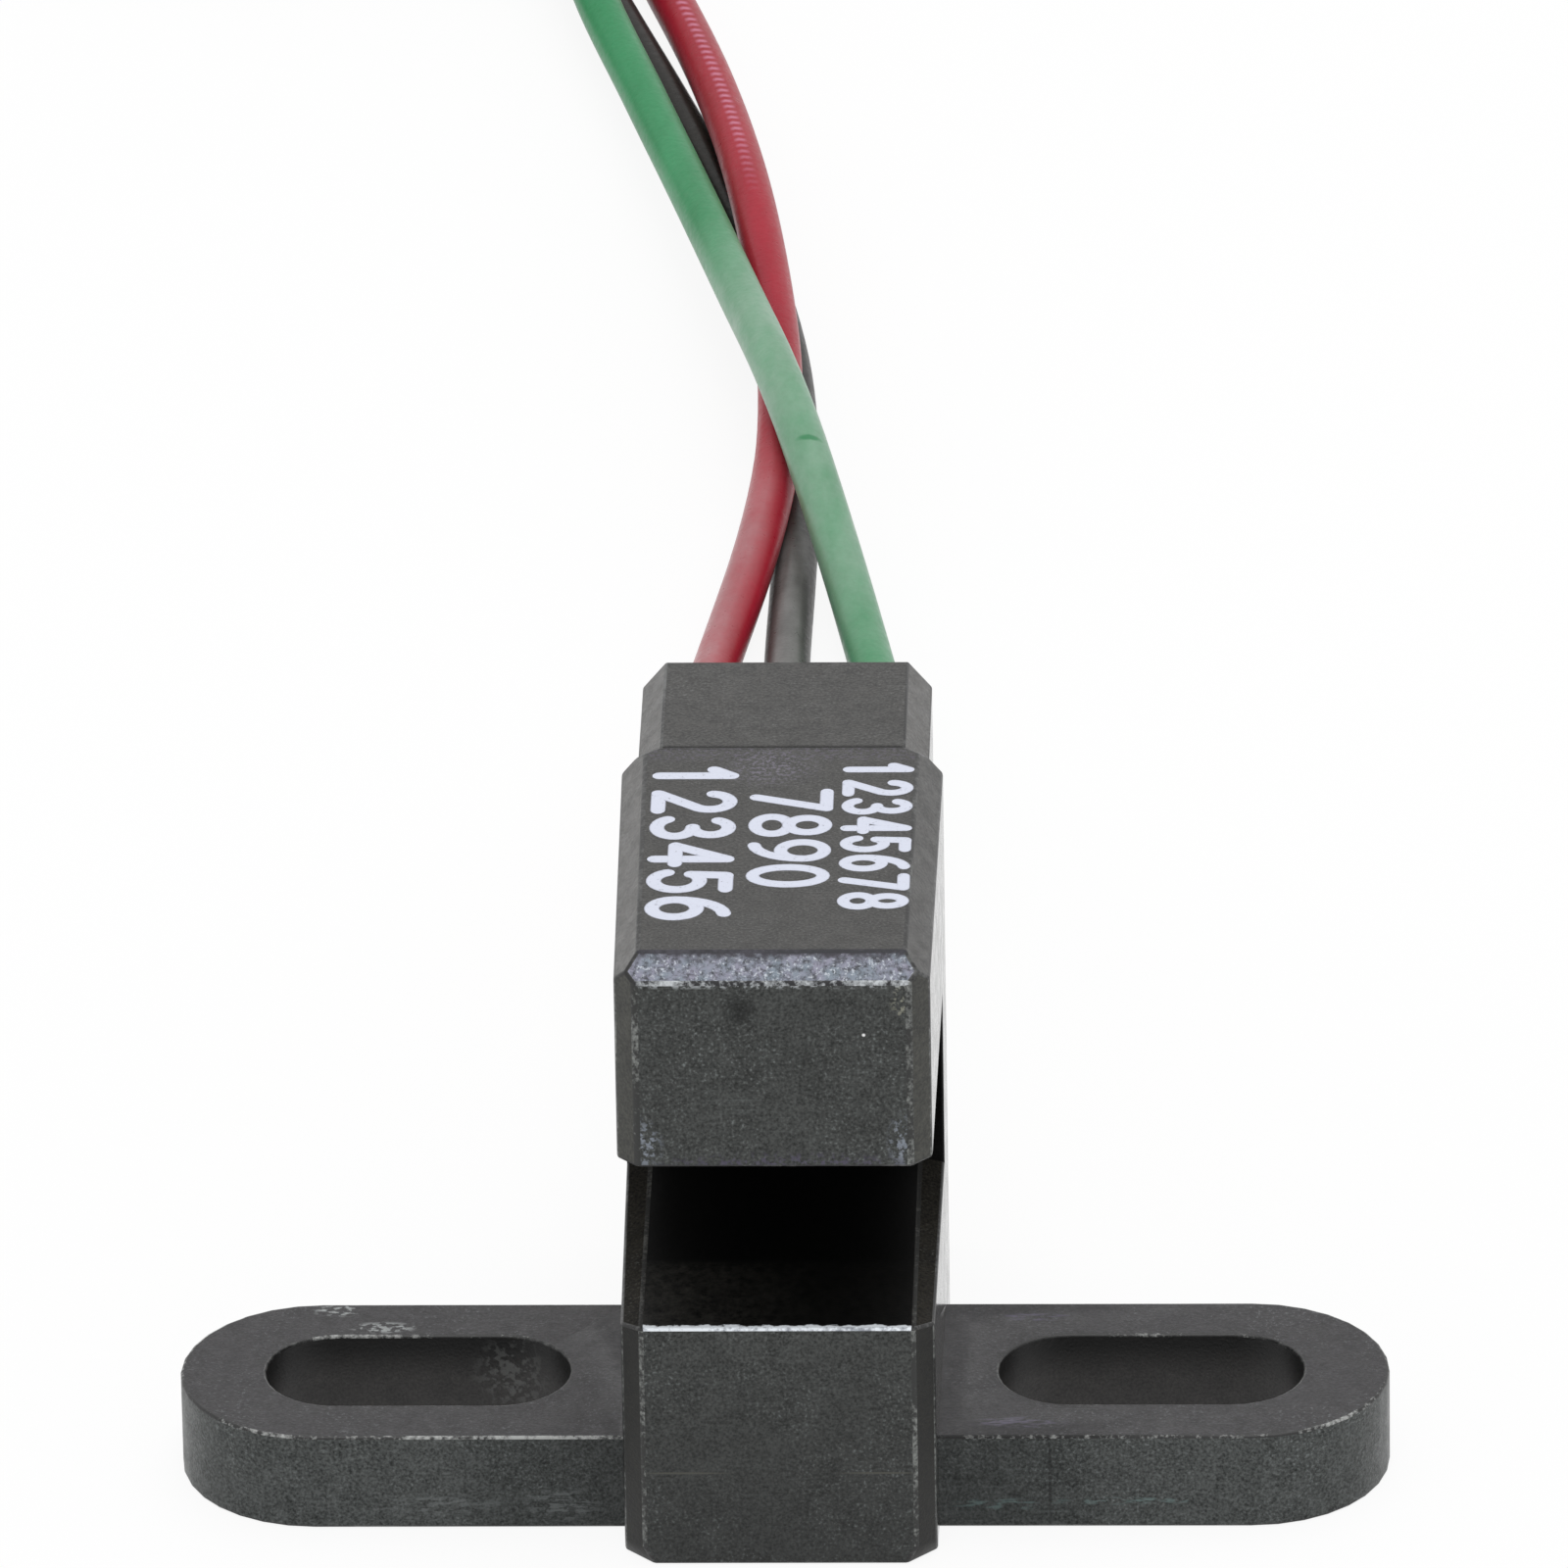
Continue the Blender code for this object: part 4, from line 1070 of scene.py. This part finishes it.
def upright_surfaces(black):
    """The looks of the front, the sides and the ears' fronts."""
    dent = {"at": (-0.67, FRONT_Y / MM, 13.08), "reach": (0.42, 1.0, 0.42), "softness": 0.8, "level": 0.25}
    return {
        "front": moulded(
            "front_look", (0.0, 0.001, 0.0), (0.068, 0.073, 0.070), 0.38, streaks=(0.7, 0.7, 15.0),
            specular=0.37, spots=front_spots(), dull=dent),
        "side": moulded("side_look", *black, 0.12, marks=0.25, specular=0.6),
        "corner": painted_light_corner("corner_look"),
        "scuffed": scuffed("scuffed_and_highlit_look"),
        "slot wall": slot_wall("slot_wall_look"),
        "ear front": moulded(
            "ear_front_look", (0.0, 0.002, 0.001), (0.098, 0.106, 0.104), 0.38, streaks=(0.7, 9.0, 12.0),
            specular=0.32, spots=ear_front_spots()),
    }


def gap_surfaces():
    """The looks of the vane gap's floor, its sloping sides and its back wall: darker and less shiny than
    the outside faces, as painted shade inside the gap.
    """
    return {
        "gap floor": scraped_floor("gap_floor_look"),
        "gap edge": moulded("gap_edge_look", BLACK, (0.028, 0.025, 0.019), 0.6, marks=0.2, specular=0.12),
        "gap wall": moulded("gap_wall_look", BLACK, (0.004, 0.004, 0.004), 0.6, marks=0.0, specular=0.1),
    }


def edge_surfaces():
    """The looks of the rounded edges: dark and light colour, cover, roughness, scale and specular."""
    return {
        "edge": worn_and_highlit_edge("edge_look", (0.008, 0.008, 0.008), (0.09, 0.092, 0.09), 1.0),
        "ear edge": worn_and_highlit_edge(
            "ear_edge_look", (0.012, 0.012, 0.012), (0.38, 0.39, 0.38), 0.97, scale=8.0),
        "front edge": worn_and_highlit_edge(
            "front_edge_look", (0.014, 0.015, 0.014), (0.2, 0.21, 0.2), 0.96, scale=9.0),
        "ridge": worn_and_highlit_edge(
            "ridge_look", (0.006, 0.006, 0.005), (0.06, 0.06, 0.055), 1.0, 0.5, 9.0, 0.3),
        "slope edge": worn_and_highlit_edge(
            "slope_edge_look", (0.012, 0.012, 0.017), (0.04, 0.038, 0.05), 1.0, 0.5, 7.0, 0.35),
        "chipped edge": worn_and_highlit_edge(
            "chipped_edge_look", (0.01, 0.01, 0.012), (0.55, 0.58, 0.60), 0.92, 0.5, 6.0),
        # The lip's near-white colour is partly wear and partly a painted highlight.
        "lip": worn_and_highlit_edge("lip_look", (0.25, 0.27, 0.31), (0.85, 0.90, 0.95), 0.84),
    }


def housing_surfaces():
    """The looks of the housing's and the cap's faces and edges."""
    black = (BLACK, (0.062, 0.060, 0.056))
    # A paler copy of the black for the chamfers that face up and aside: painted reflection.
    painted_lighter = ((0.025, 0.024, 0.023), (0.118, 0.114, 0.108))
    return {
        "plain": moulded("moulding_look", *black, 0.36, marks=0.25, specular=0.4),
        **upward_surfaces(black, painted_lighter),
        **upright_surfaces(black),
        **gap_surfaces(),
        **edge_surfaces(),
    }


def main():
    """Everything, in the order that the pieces need."""
    build_camera()
    tinned = drawn_metal("tinned_look", (0.42, 0.42, 0.41), (0.72, 0.72, 0.70), 0.32)
    build_leads(tinned)
    surfaces = housing_surfaces()
    for node in ("housing", "rear_cap"):
        refined(node, node + "_shell", surfaces, housing_surface)
    ink = printed("print_look")
    for name, row in PRINT_ROWS.items():
        build_print(name, row, ink)
    dress_nodes({
        "epoxy": cast_resin("epoxy_look"),
        "chip_plastic": sintered("chip_look"),
        "magnet": sintered("magnet_look"),
        "tinned_metal": tinned,
        "bare_copper": drawn_metal("copper_look", (0.62, 0.28, 0.16), (0.85, 0.45, 0.28), 0.3),
        "soft_iron": drawn_metal("iron_look", (0.25, 0.25, 0.26), (0.42, 0.42, 0.43), 0.42),
        "tie": insulation("tie_look", (0.66, 0.66, 0.62), (0.76, 0.76, 0.73), 0.5),
    })
    build_floor()
    build_light()
    bpy.context.scene.view_settings.view_transform = "Standard"


main()
